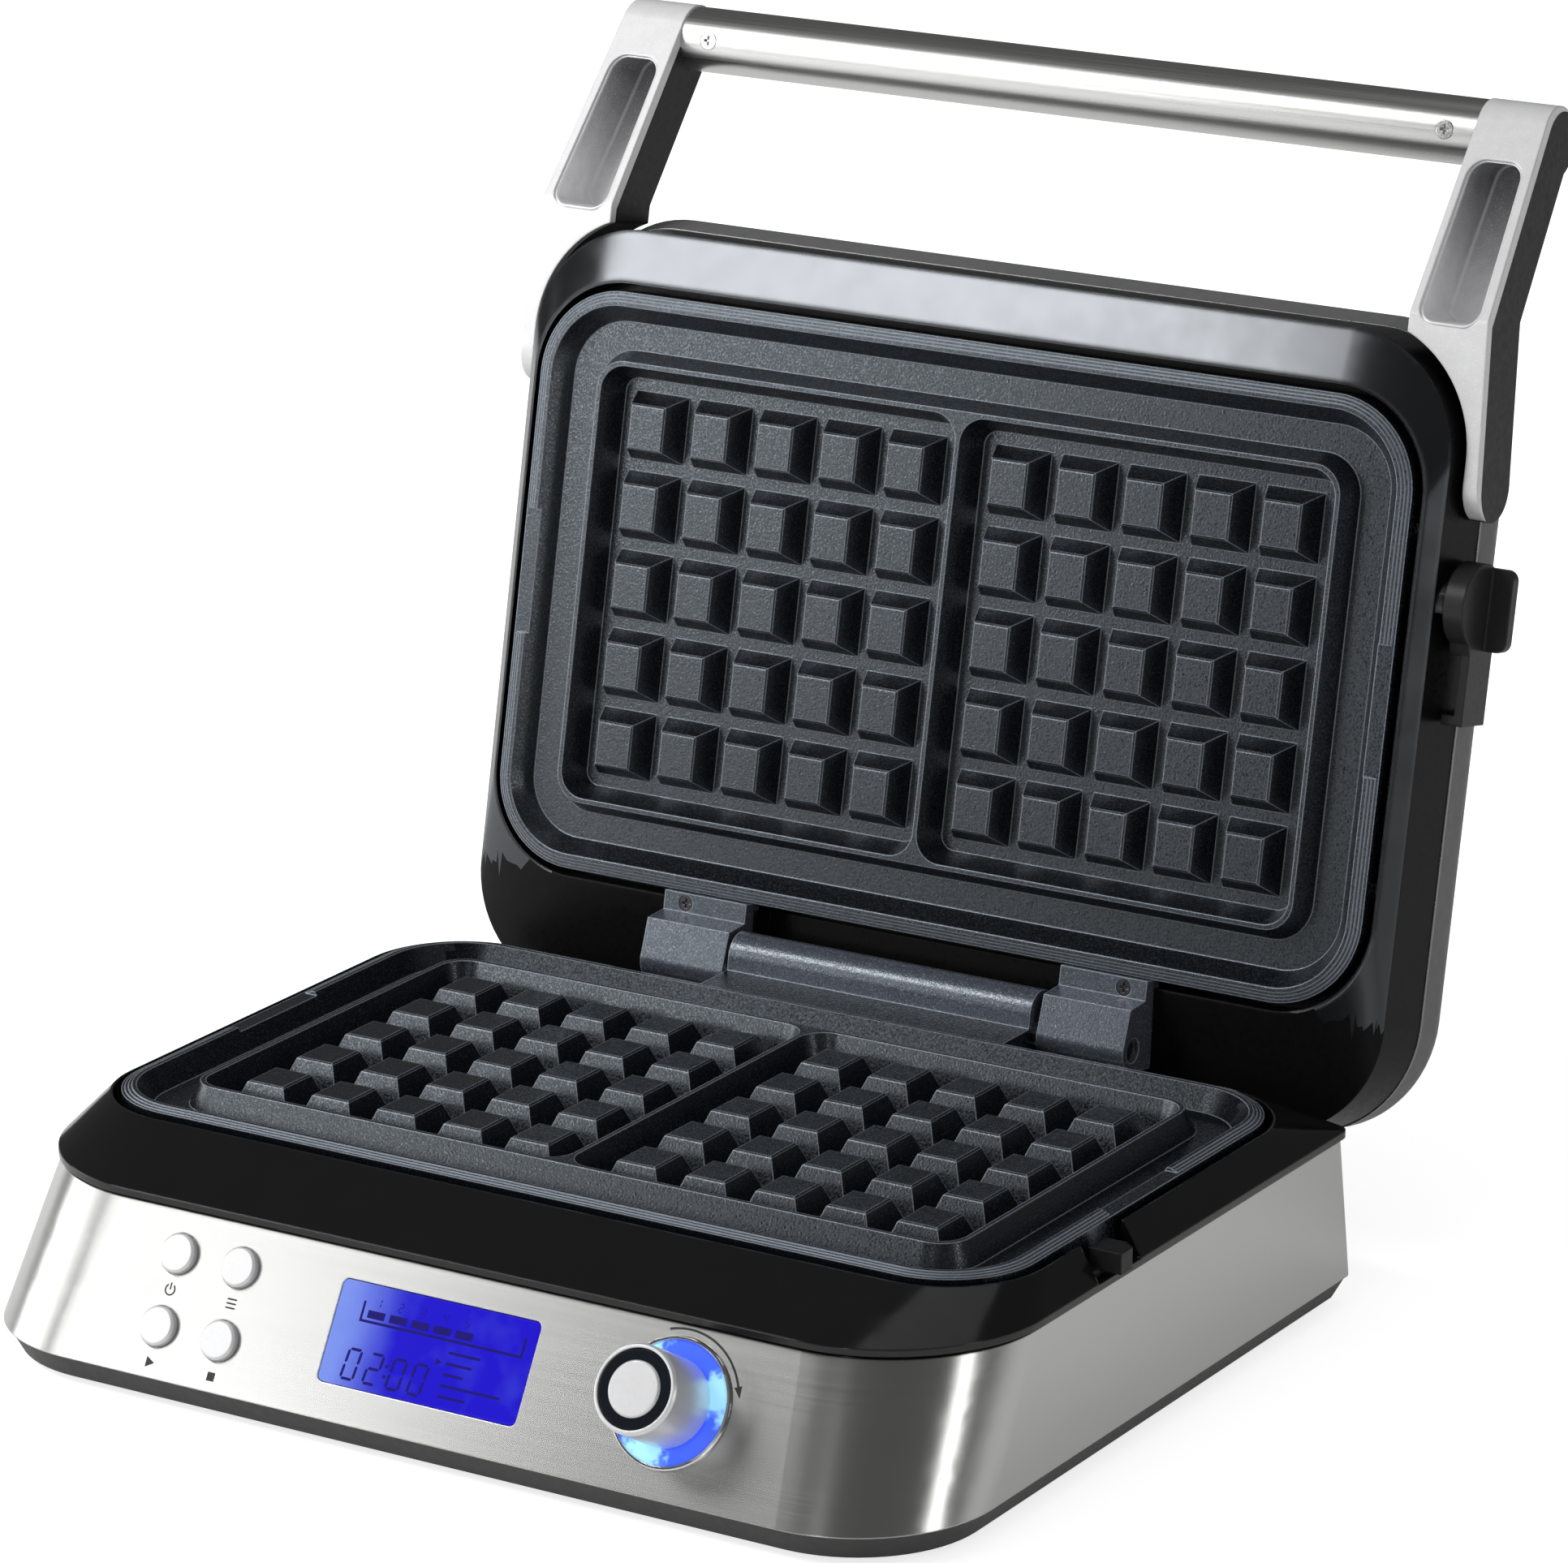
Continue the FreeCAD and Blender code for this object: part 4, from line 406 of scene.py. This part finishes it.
def grained_plastic(name, colour, rough, grain=2600.0, depth=0.00004, edge=0.0006):
    """Moulded plastic with a fine spark-eroded grain."""
    finish = Finish(name, Specular_IOR_Level=0.3)
    finish.soft_edges(edge)
    finish.tint(colour, scaled(colour, 1.35), scale=240.0)
    finish.uneven_gloss(rough - 0.06, rough + 0.06, scale=420.0)
    finish.bump(finish.noise(grain, detail=2.0), depth, strength=0.6)
    return finish.material


def gloss_plastic(name, colour, rough, edge=0.0008, shine=0.5):
    """Polished moulding with slight flow unevenness."""
    finish = Finish(name, Specular_IOR_Level=shine)
    finish.soft_edges(edge)
    finish.tint(colour, scaled(colour, 1.5), scale=60.0)
    finish.uneven_gloss(rough * 0.8, rough * 1.3, scale=90.0)
    finish.bump(finish.noise(55.0, detail=1.0), depth=0.00012, strength=0.12)
    return finish.material


def lid_face():
    """Polished black face of the lid, softly rounded towards its edges."""
    finish = Finish("lid_black", Specular_IOR_Level=0.9, Specular_Tint=(0.90, 0.94, 1.0))
    finish.soft_edges(0.0024)
    finish.tint((0.004, 0.004, 0.0045), (0.007, 0.007, 0.0075), scale=60.0)
    finish.uneven_gloss(0.15, 0.21, scale=80.0, detail=2.0)
    finish.bump(finish.noise(45.0, detail=1.0), depth=0.00012, strength=0.10)
    return finish.material


def lid_side():
    """Dull black round the sides and inside of the lid frame."""
    finish = Finish("lid_black_side", Specular_IOR_Level=0.12)
    finish.soft_edges(0.0010)
    finish.tint((0.003, 0.003, 0.003), (0.005, 0.005, 0.005), scale=300.0)
    finish.uneven_gloss(0.26, 0.36, scale=500.0, detail=2.0)
    finish.bump(finish.noise(1800.0, detail=2.0), depth=0.00003, strength=0.4)
    return finish.material


def coated_casting(name, colour, fleck, shine=1.0):
    """Cast aluminium under a flecked non-stick coat, with an orange-peel skin and a painted highlight along
    its sharp edges.
    """
    finish = Finish(name, Specular_IOR_Level=shine, Specular_Tint=(0.82, 0.91, 1.0))
    finish.soft_edges(0.0007)
    ground = finish.mix(finish.noise(320.0), scaled(colour, 0.5), colour)
    spots = finish.span(finish.noise(1500.0, detail=2.0), 0.57, 0.70)
    flecked = finish.mix(spots, ground, fleck)
    # Painted highlight: the sharp edges are mixed to a light colour
    finish.feed(finish.mix(finish.edges(0.0006), flecked, EDGE_HIGHLIGHT), "Base Color")
    finish.uneven_gloss(0.13, 0.46, scale=1400.0, detail=2.0)
    finish.bump(finish.noise(1300.0, detail=2.0), depth=0.00016, strength=0.55)
    return finish.material


def plain_metal(name, colour, low, high, scale=400.0, stretch=(1.0, 1.0, 1.0)):
    """Bare metal with a fine uneven sheen between two roughnesses."""
    finish = Finish(name, Metallic=1.0)
    finish.soft_edges(0.0004)
    finish.tint(scaled(colour, 0.82), colour, scale, stretch=stretch)
    finish.uneven_gloss(low, high, scale, stretch=stretch)
    finish.bump(finish.noise(scale * 3.0, detail=2.0, stretch=stretch), depth=0.00002, strength=0.25)
    return finish.material


def pocket_lining():
    """Metallic paint in the pockets of the arms, with painted shade that darkens it upwards and a painted
    highlight along its creases.
    """
    finish = Finish("liner_graphite", Metallic=0.2)
    finish.soft_edges(0.0010)
    # Painted shade: the lining is mixed from pale at the pocket's foot to dark at its head
    upward = finish.along(ORIGIN + LID_MIDDLE, LID_UP)
    shade = finish.span(upward, POCKET_SHADE_FOOT, POCKET_SHADE_HEAD, smooth=True)
    cloud = finish.spread(finish.noise(180.0), -0.08, 0.08)
    ground = finish.mix(finish.math("ADD", shade, cloud), (0.85, 0.85, 0.86), (0.28, 0.28, 0.29))
    flakes = finish.span(finish.noise(3000.0, detail=1.0), 0.58, 0.74)
    flaked = finish.mix(flakes, ground, (0.95, 0.95, 0.96))
    # Painted highlight: the creases and edges of the lining are mixed to white
    finish.feed(finish.mix(finish.edges(0.0018), flaked, (1.0, 1.0, 1.0)), "Base Color")
    finish.uneven_gloss(0.28, 0.42, scale=1800.0, detail=2.0)
    finish.bump(finish.noise(2400.0, detail=2.0), depth=0.00006, strength=0.40)
    return finish.material


def arm_paint():
    """Silver metallic paint of the arms: a satin ground with fine bright flakes."""
    silver = (0.88, 0.88, 0.89)
    finish = Finish("arm_silver", Metallic=0.15)
    finish.soft_edges(0.0010)
    ground = finish.mix(finish.noise(200.0), scaled(silver, 0.85), silver)
    flakes = finish.span(finish.noise(3200.0, detail=1.0), 0.58, 0.72)
    finish.feed(finish.mix(flakes, ground, (0.98, 0.98, 0.98)), "Base Color")
    finish.uneven_gloss(0.29, 0.42, scale=1800.0, detail=2.0)
    finish.bump(finish.noise(2400.0, detail=2.0), depth=0.00008, strength=0.45)
    return finish.material


def satin_silver(name, metal, low, high, tone_scale, gloss_scale, grain, depth, strength):
    """Satin silver with a fine grain, for the knob and the buttons."""
    finish = Finish(name, Metallic=metal)
    finish.soft_edges(0.0005)
    finish.tint((0.80, 0.80, 0.81), (0.88, 0.88, 0.89), tone_scale)
    finish.uneven_gloss(low, high, gloss_scale)
    finish.bump(finish.noise(grain, detail=2.0), depth, strength)
    return finish.material


def knob_silver():
    return satin_silver(
        "knob_silver",
        metal=0.5,
        low=0.28,
        high=0.36,
        tone_scale=700.0,
        gloss_scale=900.0,
        grain=2400.0,
        depth=0.00001,
        strength=0.25,
    )


def button_silver():
    return satin_silver(
        "button_silver",
        metal=0.35,
        low=0.30,
        high=0.42,
        tone_scale=900.0,
        gloss_scale=1200.0,
        grain=2600.0,
        depth=0.00004,
        strength=0.35,
    )


def lit_display():
    """A lit blue panel behind a clear lens, paler towards its left end."""
    finish = Finish("display_lens", Roughness=0.12, Specular_IOR_Level=0.1, Base_Color=(0.003, 0.002, 0.06))
    left = finish.along(PANEL @ Vector((DISPLAY_LEFT, DISPLAY_LOW, 0.0)), ACROSS)
    fade = finish.span(left, 0.0, DISPLAY_FADE, smooth=True)
    cloud = finish.spread(finish.noise(70.0, detail=2.0), -0.08, 0.08)
    colour = finish.mix(finish.math("ADD", fade, cloud), (0.22, 0.32, 0.86), (0.016, 0.009, 0.60))
    grain = finish.span(finish.noise(2600.0, detail=1.0), 0.2, 0.8, 0.90, 1.0)
    finish.feed(finish.mix(grain, (0.0, 0.0, 0.0), colour), "Emission Color")
    finish.set("Emission Strength", 1.0)
    return finish.material


def display_ink():
    """Dark blue figures of a liquid crystal panel."""
    finish = Finish("display_blue", Roughness=0.25, Specular_IOR_Level=0.1)
    finish.tint((0.006, 0.004, 0.05), (0.008, 0.005, 0.07), scale=900.0)
    glow = finish.mix(finish.noise(1200.0), (0.010, 0.005, 0.20), (0.013, 0.008, 0.25))
    finish.feed(glow, "Emission Color")
    finish.set("Emission Strength", 0.5)
    return finish.material


def lit_ring():
    """A clear moulded ring lit blue, with three paler patches round it."""
    patches = 3.0
    patch_turn = 0.25
    finish = Finish("light_blue", Roughness=0.15)
    across = finish.along(KNOB_MIDDLE, ACROSS)
    upward = finish.along(KNOB_MIDDLE, PANEL_UP)
    angle = finish.math("ADD", finish.math("ARCTAN2", upward, across), patch_turn)
    wave = finish.math("SINE", finish.math("MULTIPLY", angle, patches))
    ragged = finish.spread(finish.noise(260.0), -0.5, 0.5)
    pale = finish.span(finish.math("ADD", wave, ragged), -0.1, 0.75, smooth=True)
    colour = finish.mix(pale, (0.055, 0.13, 0.92), (0.36, 0.74, 1.0))
    finish.feed(colour, "Base Color")
    finish.feed(colour, "Emission Color")
    finish.set("Emission Strength", 0.55)
    return finish.material


def circuit_board():
    """Green lacquer with paler lines of bare board in it."""
    finish = Finish("board_green", Roughness=0.45)
    lines = finish.cells(260.0)
    lines.feature = "DISTANCE_TO_EDGE"
    track = finish.span(lines.outputs["Distance"], 0.02, 0.05)
    finish.feed(finish.mix(track, (0.06, 0.17, 0.08), (0.015, 0.07, 0.03)), "Base Color")
    finish.bump(track, depth=0.00003, strength=0.5)
    return finish.material


def printing_ink():
    """Black ink of the signs on the panel."""
    finish = Finish("print_black")
    finish.tint((0.010, 0.010, 0.012), (0.020, 0.020, 0.022), scale=1200.0)
    finish.uneven_gloss(0.40, 0.55, scale=1500.0)
    return finish.material


def grained_black(name, colour, rough):
    """Black plastic of the arms and the lever, with slightly rounder edges."""
    return grained_plastic(name, colour, rough, grain=2200.0, edge=0.0010)


def tube_steel():
    """Steel tube, brushed along its length."""
    lines = (8.0, 1500.0, 1500.0)
    return plain_metal("tube_steel", (0.70, 0.70, 0.69), 0.26, 0.34, scale=1.0, stretch=lines)


def lid_grey():
    return grained_plastic("lid_grey", (0.130, 0.131, 0.133), 0.40, grain=2200.0, depth=0.00003, edge=0.0012)


def finishes():
    """One material for each slot of the record."""
    return {
        "skirt_steel": brushed_skirt(),
        "tray_grey": grained_plastic("tray_grey", (0.050, 0.050, 0.050), 0.50),
        "foot_rubber": grained_plastic("foot_rubber", (0.012, 0.012, 0.012), 0.80, grain=1600.0),
        "deck_black": gloss_plastic("deck_black", (0.004, 0.004, 0.004), 0.14),
        "panel_black": grained_plastic("panel_black", (0.010, 0.010, 0.010), 0.45),
        "plate_coat": coated_casting("plate_coat", COAT, COAT_FLECK),
        "pin_steel": plain_metal("pin_steel", (0.60, 0.60, 0.60), 0.22, 0.34),
        "element": plain_metal("element", (0.22, 0.21, 0.20), 0.40, 0.55),
        "pan_aluminium": plain_metal("pan_aluminium", (0.78, 0.78, 0.79), 0.30, 0.45, scale=120.0),
        "board_green": circuit_board(),
        "inner_black": grained_plastic("inner_black", (0.012, 0.012, 0.012), 0.55),
        "display_blue": display_ink(),
        "display_lens": lit_display(),
        "light_blue": lit_ring(),
        "bezel_chrome": plain_metal("bezel_chrome", (0.80, 0.80, 0.81), 0.05, 0.10, scale=300.0),
        "knob_silver": knob_silver(),
        "knob_black": gloss_plastic("knob_black", (0.008, 0.010, 0.014), 0.10, edge=0.0004, shine=0.25),
        "button_silver": button_silver(),
        "lid_black": lid_face(),
        "lid_grey": lid_grey(),
        "trim_bright": plain_metal("trim_bright", (0.30, 0.30, 0.30), 0.25, 0.35),
        "arm_silver": arm_paint(),
        "arm_black": grained_black("arm_black", (0.012, 0.012, 0.013), 0.42),
        "liner_graphite": pocket_lining(),
        "tube_steel": tube_steel(),
        "fastener": plain_metal("fastener", (0.62, 0.62, 0.62), 0.20, 0.32, scale=900.0),
        "lever_black": grained_black("lever_black", (0.018, 0.018, 0.019), 0.34),
    }


def dress(node, material):
    mesh = frame["nodes"][node].data
    mesh.materials.clear()
    mesh.materials.append(material)


def dress_nodes(made):
    """Every solid takes the material of its slot."""
    for part in frame["record"]["subparts"]:
        dress(part["node"], made[part["material_slot"]])
    dress_lid()
    dress_hinge()


def dress_lid():
    """The lid frame is polished on its face and dull behind it and at its foot."""
    lid = frame["nodes"]["lid_frame"]
    lid.data.materials.append(lid_side())
    middle = ORIGIN + LID_MIDDLE
    for face in lid.data.polygons:
        place = lid.matrix_world @ face.center - middle
        lean = (lid.matrix_world.to_3x3() @ face.normal).dot(LID_FACE)
        on_face = place.dot(LID_FACE) > LID_FACE_END and lean > LID_FRONT_LEAN
        if not on_face or place.dot(LID_UP) < LID_FOOT_END:
            face.material_index = 1


def dress_hinge():
    """Brackets and barrel have a lighter coat; the forward-facing rim walls of the lower plate take a copy of
    the coat with painted shade, with darker flecks and less shine.
    """
    hinge_coat = coated_casting("hinge_coat", HINGE_COAT, HINGE_FLECK)
    for side in ("left", "right"):
        dress("hinge_bracket_" + side, hinge_coat)
    plate = frame["nodes"]["lower_plate"]
    plate.data.materials.append(hinge_coat)
    plate.data.materials.append(coated_casting("rim_coat_painted_shade", COAT, RIM_SHADED_FLECK, RIM_SHADED_SHINE))
    for face in plate.data.polygons:
        place = plate.matrix_world @ face.center - ORIGIN
        forward = -(plate.matrix_world.to_3x3() @ face.normal).y
        if place.y > BARREL_FROM and place.z > BARREL_FOOT:
            face.material_index = 1
        # Forward-facing rim walls take the copy of the coat with painted shade
        elif abs(place.y) > FIELD_HALF_DEPTH and forward > RIM_WALL_LEAN:
            face.material_index = 2
    dress("hinge_screws", plain_metal("screw_black", (0.14, 0.14, 0.15), 0.16, 0.24, scale=900.0))


def printed(name, outlines, height, material):
    """A thin printed layer on the panel, from flat outlines given in the panel's own axes."""
    mesh = bmesh.new()
    for outline in outlines:
        low = [mesh.verts.new((x, s, height - PRINT_SINK)) for x, s in outline]
        high = [mesh.verts.new((x, s, height + PRINT_THICK)) for x, s in outline]
        count = len(outline)
        mesh.faces.new(high)
        mesh.faces.new(low[::-1])
        for step in range(count):
            after = (step + 1) % count
            mesh.faces.new((low[step], low[after], high[after], high[step]))
    bmesh.ops.recalc_face_normals(mesh, faces=mesh.faces)
    mesh.transform(PANEL)
    data = bpy.data.meshes.new(name)
    mesh.to_mesh(data)
    mesh.free()
    data.materials.append(material)
    piece = bpy.data.objects.new(name, data)
    bpy.context.scene.collection.objects.link(piece)
    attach(piece, "base")


def rectangle(x0, s0, x1, s1):
    return [(x0, s0), (x1, s0), (x1, s1), (x0, s1)]


def block(x, s, half_wide, half_high):
    """A rectangle about a middle."""
    return rectangle(x - half_wide, s - half_high, x + half_wide, s + half_high)


def bar(start, end, thick):
    """A segment with pointed ends from start to end."""
    (x0, s0), (x1, s1) = start, end
    long = math.hypot(x1 - x0, s1 - s0)
    ux, us = (x1 - x0) / long, (s1 - s0) / long
    half = thick / 2
    tip = min(half, long / 4)
    left = (-us * half, ux * half)
    return [
        (x0, s0),
        (x0 + ux * tip - left[0], s0 + us * tip - left[1]),
        (x1 - ux * tip - left[0], s1 - us * tip - left[1]),
        (x1, s1),
        (x1 - ux * tip + left[0], s1 - us * tip + left[1]),
        (x0 + ux * tip + left[0], s0 + us * tip + left[1]),
    ]


def digit(figure, x, s, wide, high, thick):
    """The segments of a seven-segment figure about a middle."""
    half, tall = wide / 2, high / 2
    corners = {
        "a": ((-half, tall), (half, tall)),
        "b": ((half, tall), (half, 0.0)),
        "c": ((half, 0.0), (half, -tall)),
        "d": ((-half, -tall), (half, -tall)),
        "e": ((-half, -tall), (-half, 0.0)),
        "f": ((-half, 0.0), (-half, tall)),
        "g": ((-half, 0.0), (half, 0.0)),
    }
    outlines = []
    for segment in DIGITS[figure]:
        (x0, s0), (x1, s1) = corners[segment]
        long = math.hypot(x1 - x0, s1 - s0)
        ux, us = (x1 - x0) / long * SEGMENT_GAP, (s1 - s0) / long * SEGMENT_GAP
        flat = bar((x0 + ux, s0 + us), (x1 - ux, s1 - us), thick)
        outlines.append([(x + px + DIGIT_SLANT * ps, s + ps) for px, ps in flat])
    return outlines


def on_display(across, down):
    """A place on the display from its top left corner, as shares of its width and height."""
    x = DISPLAY_LEFT + across * (DISPLAY_RIGHT - DISPLAY_LEFT)
    s = DISPLAY_HIGH - down * (DISPLAY_HIGH - DISPLAY_LOW)
    return x, s


def clock_figures():
    outlines = []
    for figure, across in zip(CLOCK, CLOCK_ACROSS):
        x, s = on_display(across, CLOCK_DOWN)
        outlines += digit(figure, x, s, DIGIT_WIDE, DIGIT_HIGH, SEGMENT_THICK)
    for down in COLON_DOWN:
        x, s = on_display(COLON_ACROSS, down)
        outlines.append(block(x, s, COLON_HALF, COLON_HALF))
    return outlines


def level_bars():
    outlines = []
    for step, figure in enumerate(LEVELS):
        across = LEVEL_FIRST + LEVEL_STEP * step
        x, s = on_display(across, LEVEL_DOWN)
        outlines.append(block(x, s, LEVEL_HALF_WIDE, LEVEL_HALF_HIGH))
        x, s = on_display(across, LEVEL_FIGURE_DOWN)
        outlines += digit(figure, x, s, LEVEL_FIGURE_WIDE, LEVEL_FIGURE_HIGH, LEVEL_FIGURE_THICK)
    return outlines


def level_frame():
    """A line at both ends of the row of bars and under it."""
    left, top = on_display(FRAME_LEFT, FRAME_TOP)
    right, foot = on_display(FRAME_RIGHT, FRAME_FOOT)
    return [
        rectangle(left, foot, left + FRAME_LINE, top),
        rectangle(right - FRAME_LINE, foot, right, top),
        rectangle(left + FRAME_LINE, foot, right - FRAME_LINE, foot + FRAME_LINE),
    ]


def list_lines():
    outlines = []
    for step, share in enumerate(LIST_SHARES):
        x, s = on_display(LIST_ACROSS, LIST_DOWN + LIST_STEP * step)
        wide = share * (DISPLAY_RIGHT - DISPLAY_LEFT)
        outlines.append(rectangle(x, s - LIST_HALF_HIGH, x + wide, s + LIST_HALF_HIGH))
    x, s = on_display(POINTER_ACROSS, POINTER_DOWN)
    back = x - POINTER_HALF
    outlines.append([(back, s - POINTER_HALF), (x + POINTER_HALF, s), (back, s + POINTER_HALF)])
    return outlines


def display_figures(ink):
    outlines = clock_figures() + level_bars() + level_frame() + list_lines()
    printed("display_figures", outlines, DISPLAY_PROUD, ink)


def ring_part(x, s, radius, thick, start, end, steps):
    """Short four-sided lengths of a ring of even thickness."""
    pieces = []
    for step in range(steps):
        first = start + (end - start) * step / steps
        second = start + (end - start) * (step + 1) / steps
        inner, outer = radius - thick / 2, radius + thick / 2
        pieces.append(
            [
                (x + inner * math.cos(first), s + inner * math.sin(first)),
                (x + inner * math.cos(second), s + inner * math.sin(second)),
                (x + outer * math.cos(second), s + outer * math.sin(second)),
                (x + outer * math.cos(first), s + outer * math.sin(first)),
            ]
        )
    return pieces


def knob_scale(ink):
    """The printed arc at the knob, with an arrowhead at its end."""
    outlines = ring_part(KNOB_X, KNOB_S, SCALE_RADIUS, SCALE_THICK, SCALE_FROM, SCALE_TO, SCALE_STEPS)
    across = math.cos(SCALE_TO), math.sin(SCALE_TO)
    onward = math.sin(SCALE_TO), -math.cos(SCALE_TO)
    middle = KNOB_X + SCALE_RADIUS * across[0], KNOB_S + SCALE_RADIUS * across[1]
    half = ARROW_WIDE / 2
    outlines.append(
        [
            (middle[0] - across[0] * half, middle[1] - across[1] * half),
            (middle[0] + onward[0] * ARROW_LONG, middle[1] + onward[1] * ARROW_LONG),
            (middle[0] + across[0] * half, middle[1] + across[1] * half),
        ]
    )
    printed("knob_scale", outlines, 0.0, ink)


def power_sign(x, s, half):
    ring = ring_part(x, s, half, SYMBOL_LINE, POWER_FROM, POWER_TO, POWER_STEPS)
    stroke = rectangle(x - SYMBOL_LINE / 2, s, x + SYMBOL_LINE / 2, s + half + SYMBOL_LINE)
    return ring + [stroke]


def lines_sign(x, s, half):
    return [block(x, s + step * half, half, SYMBOL_LINE / 2) for step in (-SYMBOL_NARROW, 0.0, SYMBOL_NARROW)]


def triangle_sign(x, s, half):
    back = x - half * SYMBOL_NARROW
    return [[(back, s - half), (x + half, s), (back, s + half)]]


def square_sign(x, s, half):
    return [block(x, s, half * SYMBOL_NARROW, half * SYMBOL_NARROW)]


def button_symbols(ink):
    """Plain signs under the buttons: a power sign, lines, a triangle and a square."""
    left, right = BUTTON_X
    high, low = (s - SYMBOL_DROP for s in BUTTON_S)
    half = SYMBOL_SIZE / 2
    signs = {
        "sign_power": power_sign(left, high, half),
        "sign_lines": lines_sign(right, high, half),
        "sign_triangle": triangle_sign(left, low, half),
        "sign_square": square_sign(right, low, half),
    }
    for name, outlines in signs.items():
        printed(name, outlines, 0.0, ink)


def studio():
    """A soft box high at the front left, lower ones at the front and left, weak ones elsewhere."""
    room()
    lamp("key", KEY_PLACE, KEY_TURN, KEY_SIZE, KEY_POWER)
    lamp("front", FRONT_PLACE, FRONT_TURN, FRONT_SIZE, FRONT_POWER)
    lamp("panel", PANEL_LAMP_PLACE, PANEL_LAMP_TURN, PANEL_LAMP_SIZE, PANEL_LAMP_POWER)
    lamp("left", LEFT_PLACE, LEFT_TURN, LEFT_SIZE, LEFT_POWER)
    lamp("strip", STRIP_PLACE, STRIP_TURN, STRIP_SIZE, STRIP_POWER)
    lamp("side", SIDE_PLACE, SIDE_TURN, SIDE_SIZE, SIDE_POWER)
    lamp("top", TOP_PLACE, TOP_TURN, TOP_SIZE, TOP_POWER)


def room():
    """White where the camera looks past the object; an even dim room in reflections and on matt faces."""
    first, second = MIX_LEVELS
    world = bpy.data.worlds.new("room")
    world.use_nodes = True
    bpy.context.scene.world = world
    tree = world.node_tree
    tree.nodes.clear()
    output = tree.nodes.new("ShaderNodeOutputWorld")
    path = tree.nodes.new("ShaderNodeLightPath")
    level = tree.nodes.new("ShaderNodeMix")
    level.inputs[first].default_value = ROOM_LEVEL
    level.inputs[second].default_value = ROOM_GLOSS
    tree.links.new(path.outputs["Is Glossy Ray"], level.inputs[0])
    seen = tree.nodes.new("ShaderNodeMath")
    seen.operation = "MAXIMUM"
    tree.links.new(path.outputs["Is Camera Ray"], seen.inputs[0])
    tree.links.new(path.outputs["Is Transmission Ray"], seen.inputs[1])
    white = tree.nodes.new("ShaderNodeMix")
    white.inputs[second].default_value = 1.0
    tree.links.new(seen.outputs[0], white.inputs[0])
    tree.links.new(level.outputs[0], white.inputs[first])
    background = tree.nodes.new("ShaderNodeBackground")
    background.inputs["Color"].default_value = (1.0, 1.0, 1.0, 1.0)
    tree.links.new(white.outputs[0], background.inputs["Strength"])
    tree.links.new(background.outputs["Background"], output.inputs["Surface"])


def lamp(name, place, turn, size, power):
    data = bpy.data.lights.new(name, "AREA")
    data.shape = "RECTANGLE"
    data.size, data.size_y = size
    data.energy = power
    light = bpy.data.objects.new(name, data)
    light.location = ORIGIN + place
    light.rotation_euler = [math.radians(angle) for angle in turn]
    bpy.context.scene.collection.objects.link(light)


def floor_white():
    """Pale floor that fades into the white sweep; dim in reflections, less so to the left."""
    finish = Finish("floor_white", Roughness=0.9, Specular_IOR_Level=0.0, Emission_Color=(1.0, 1.0, 1.0))
    finish.tint((0.78, 0.78, 0.78), (0.80, 0.80, 0.80), scale=3.0)
    path = finish.node("ShaderNodeLightPath")
    seen = finish.math("MAXIMUM", path.outputs["Is Camera Ray"], path.outputs["Is Transmission Ray"])
    reach = finish.node("ShaderNodeVectorMath")
    reach.operation = "LENGTH"
    finish.link(finish.place(), reach.inputs[0])
    glow = finish.span(reach.outputs["Value"], FLOOR_NEAR_END, FLOOR_FAR_START, FLOOR_NEAR, FLOOR_FAR, True)
    sideways = finish.along(Vector((0.0, 0.0, 0.0)), ACROSS)
    sheen = finish.span(sideways, FLOOR_LEFT_END, FLOOR_LEFT_START, FLOOR_LEFT_GLOSS, FLOOR_GLOSS, True)
    shown = finish.math("MULTIPLY", seen, glow)
    mirrored = finish.math("MULTIPLY", path.outputs["Is Glossy Ray"], sheen)
    finish.feed(finish.math("MAXIMUM", shown, mirrored), "Emission Strength")
    return finish.material


def floor():
    mesh = bmesh.new()
    bmesh.ops.create_circle(mesh, cap_ends=True, radius=FLOOR_RADIUS, segments=FLOOR_SEGMENTS)
    data = bpy.data.meshes.new("floor")
    mesh.to_mesh(data)
    mesh.free()
    data.materials.append(floor_white())
    plane = bpy.data.objects.new("floor", data)
    bpy.context.scene.collection.objects.link(plane)


def camera():
    data = bpy.data.cameras.new("view")
    data.sensor_fit = "HORIZONTAL"
    data.sensor_width = SENSOR_WIDE
    data.lens = SENSOR_WIDE * FOCAL_PIXELS / PICTURE_WIDE
    data.clip_start = CLIP_START
    data.clip_end = CLIP_END
    eye = bpy.data.objects.new("view", data)
    eye.location = ORIGIN + CAMERA_PLACE
    eye.rotation_euler = (math.pi / 2 - CAMERA_DROP, 0.0, CAMERA_TURN)
    bpy.context.scene.collection.objects.link(eye)
    bpy.context.scene.camera = eye


def main():
    bpy.context.scene.view_settings.view_transform = "Standard"
    made = finishes()
    dress_nodes(made)
    display_figures(made["display_blue"])
    ink = printing_ink()
    knob_scale(ink)
    button_symbols(ink)
    studio()
    floor()
    camera()


main()
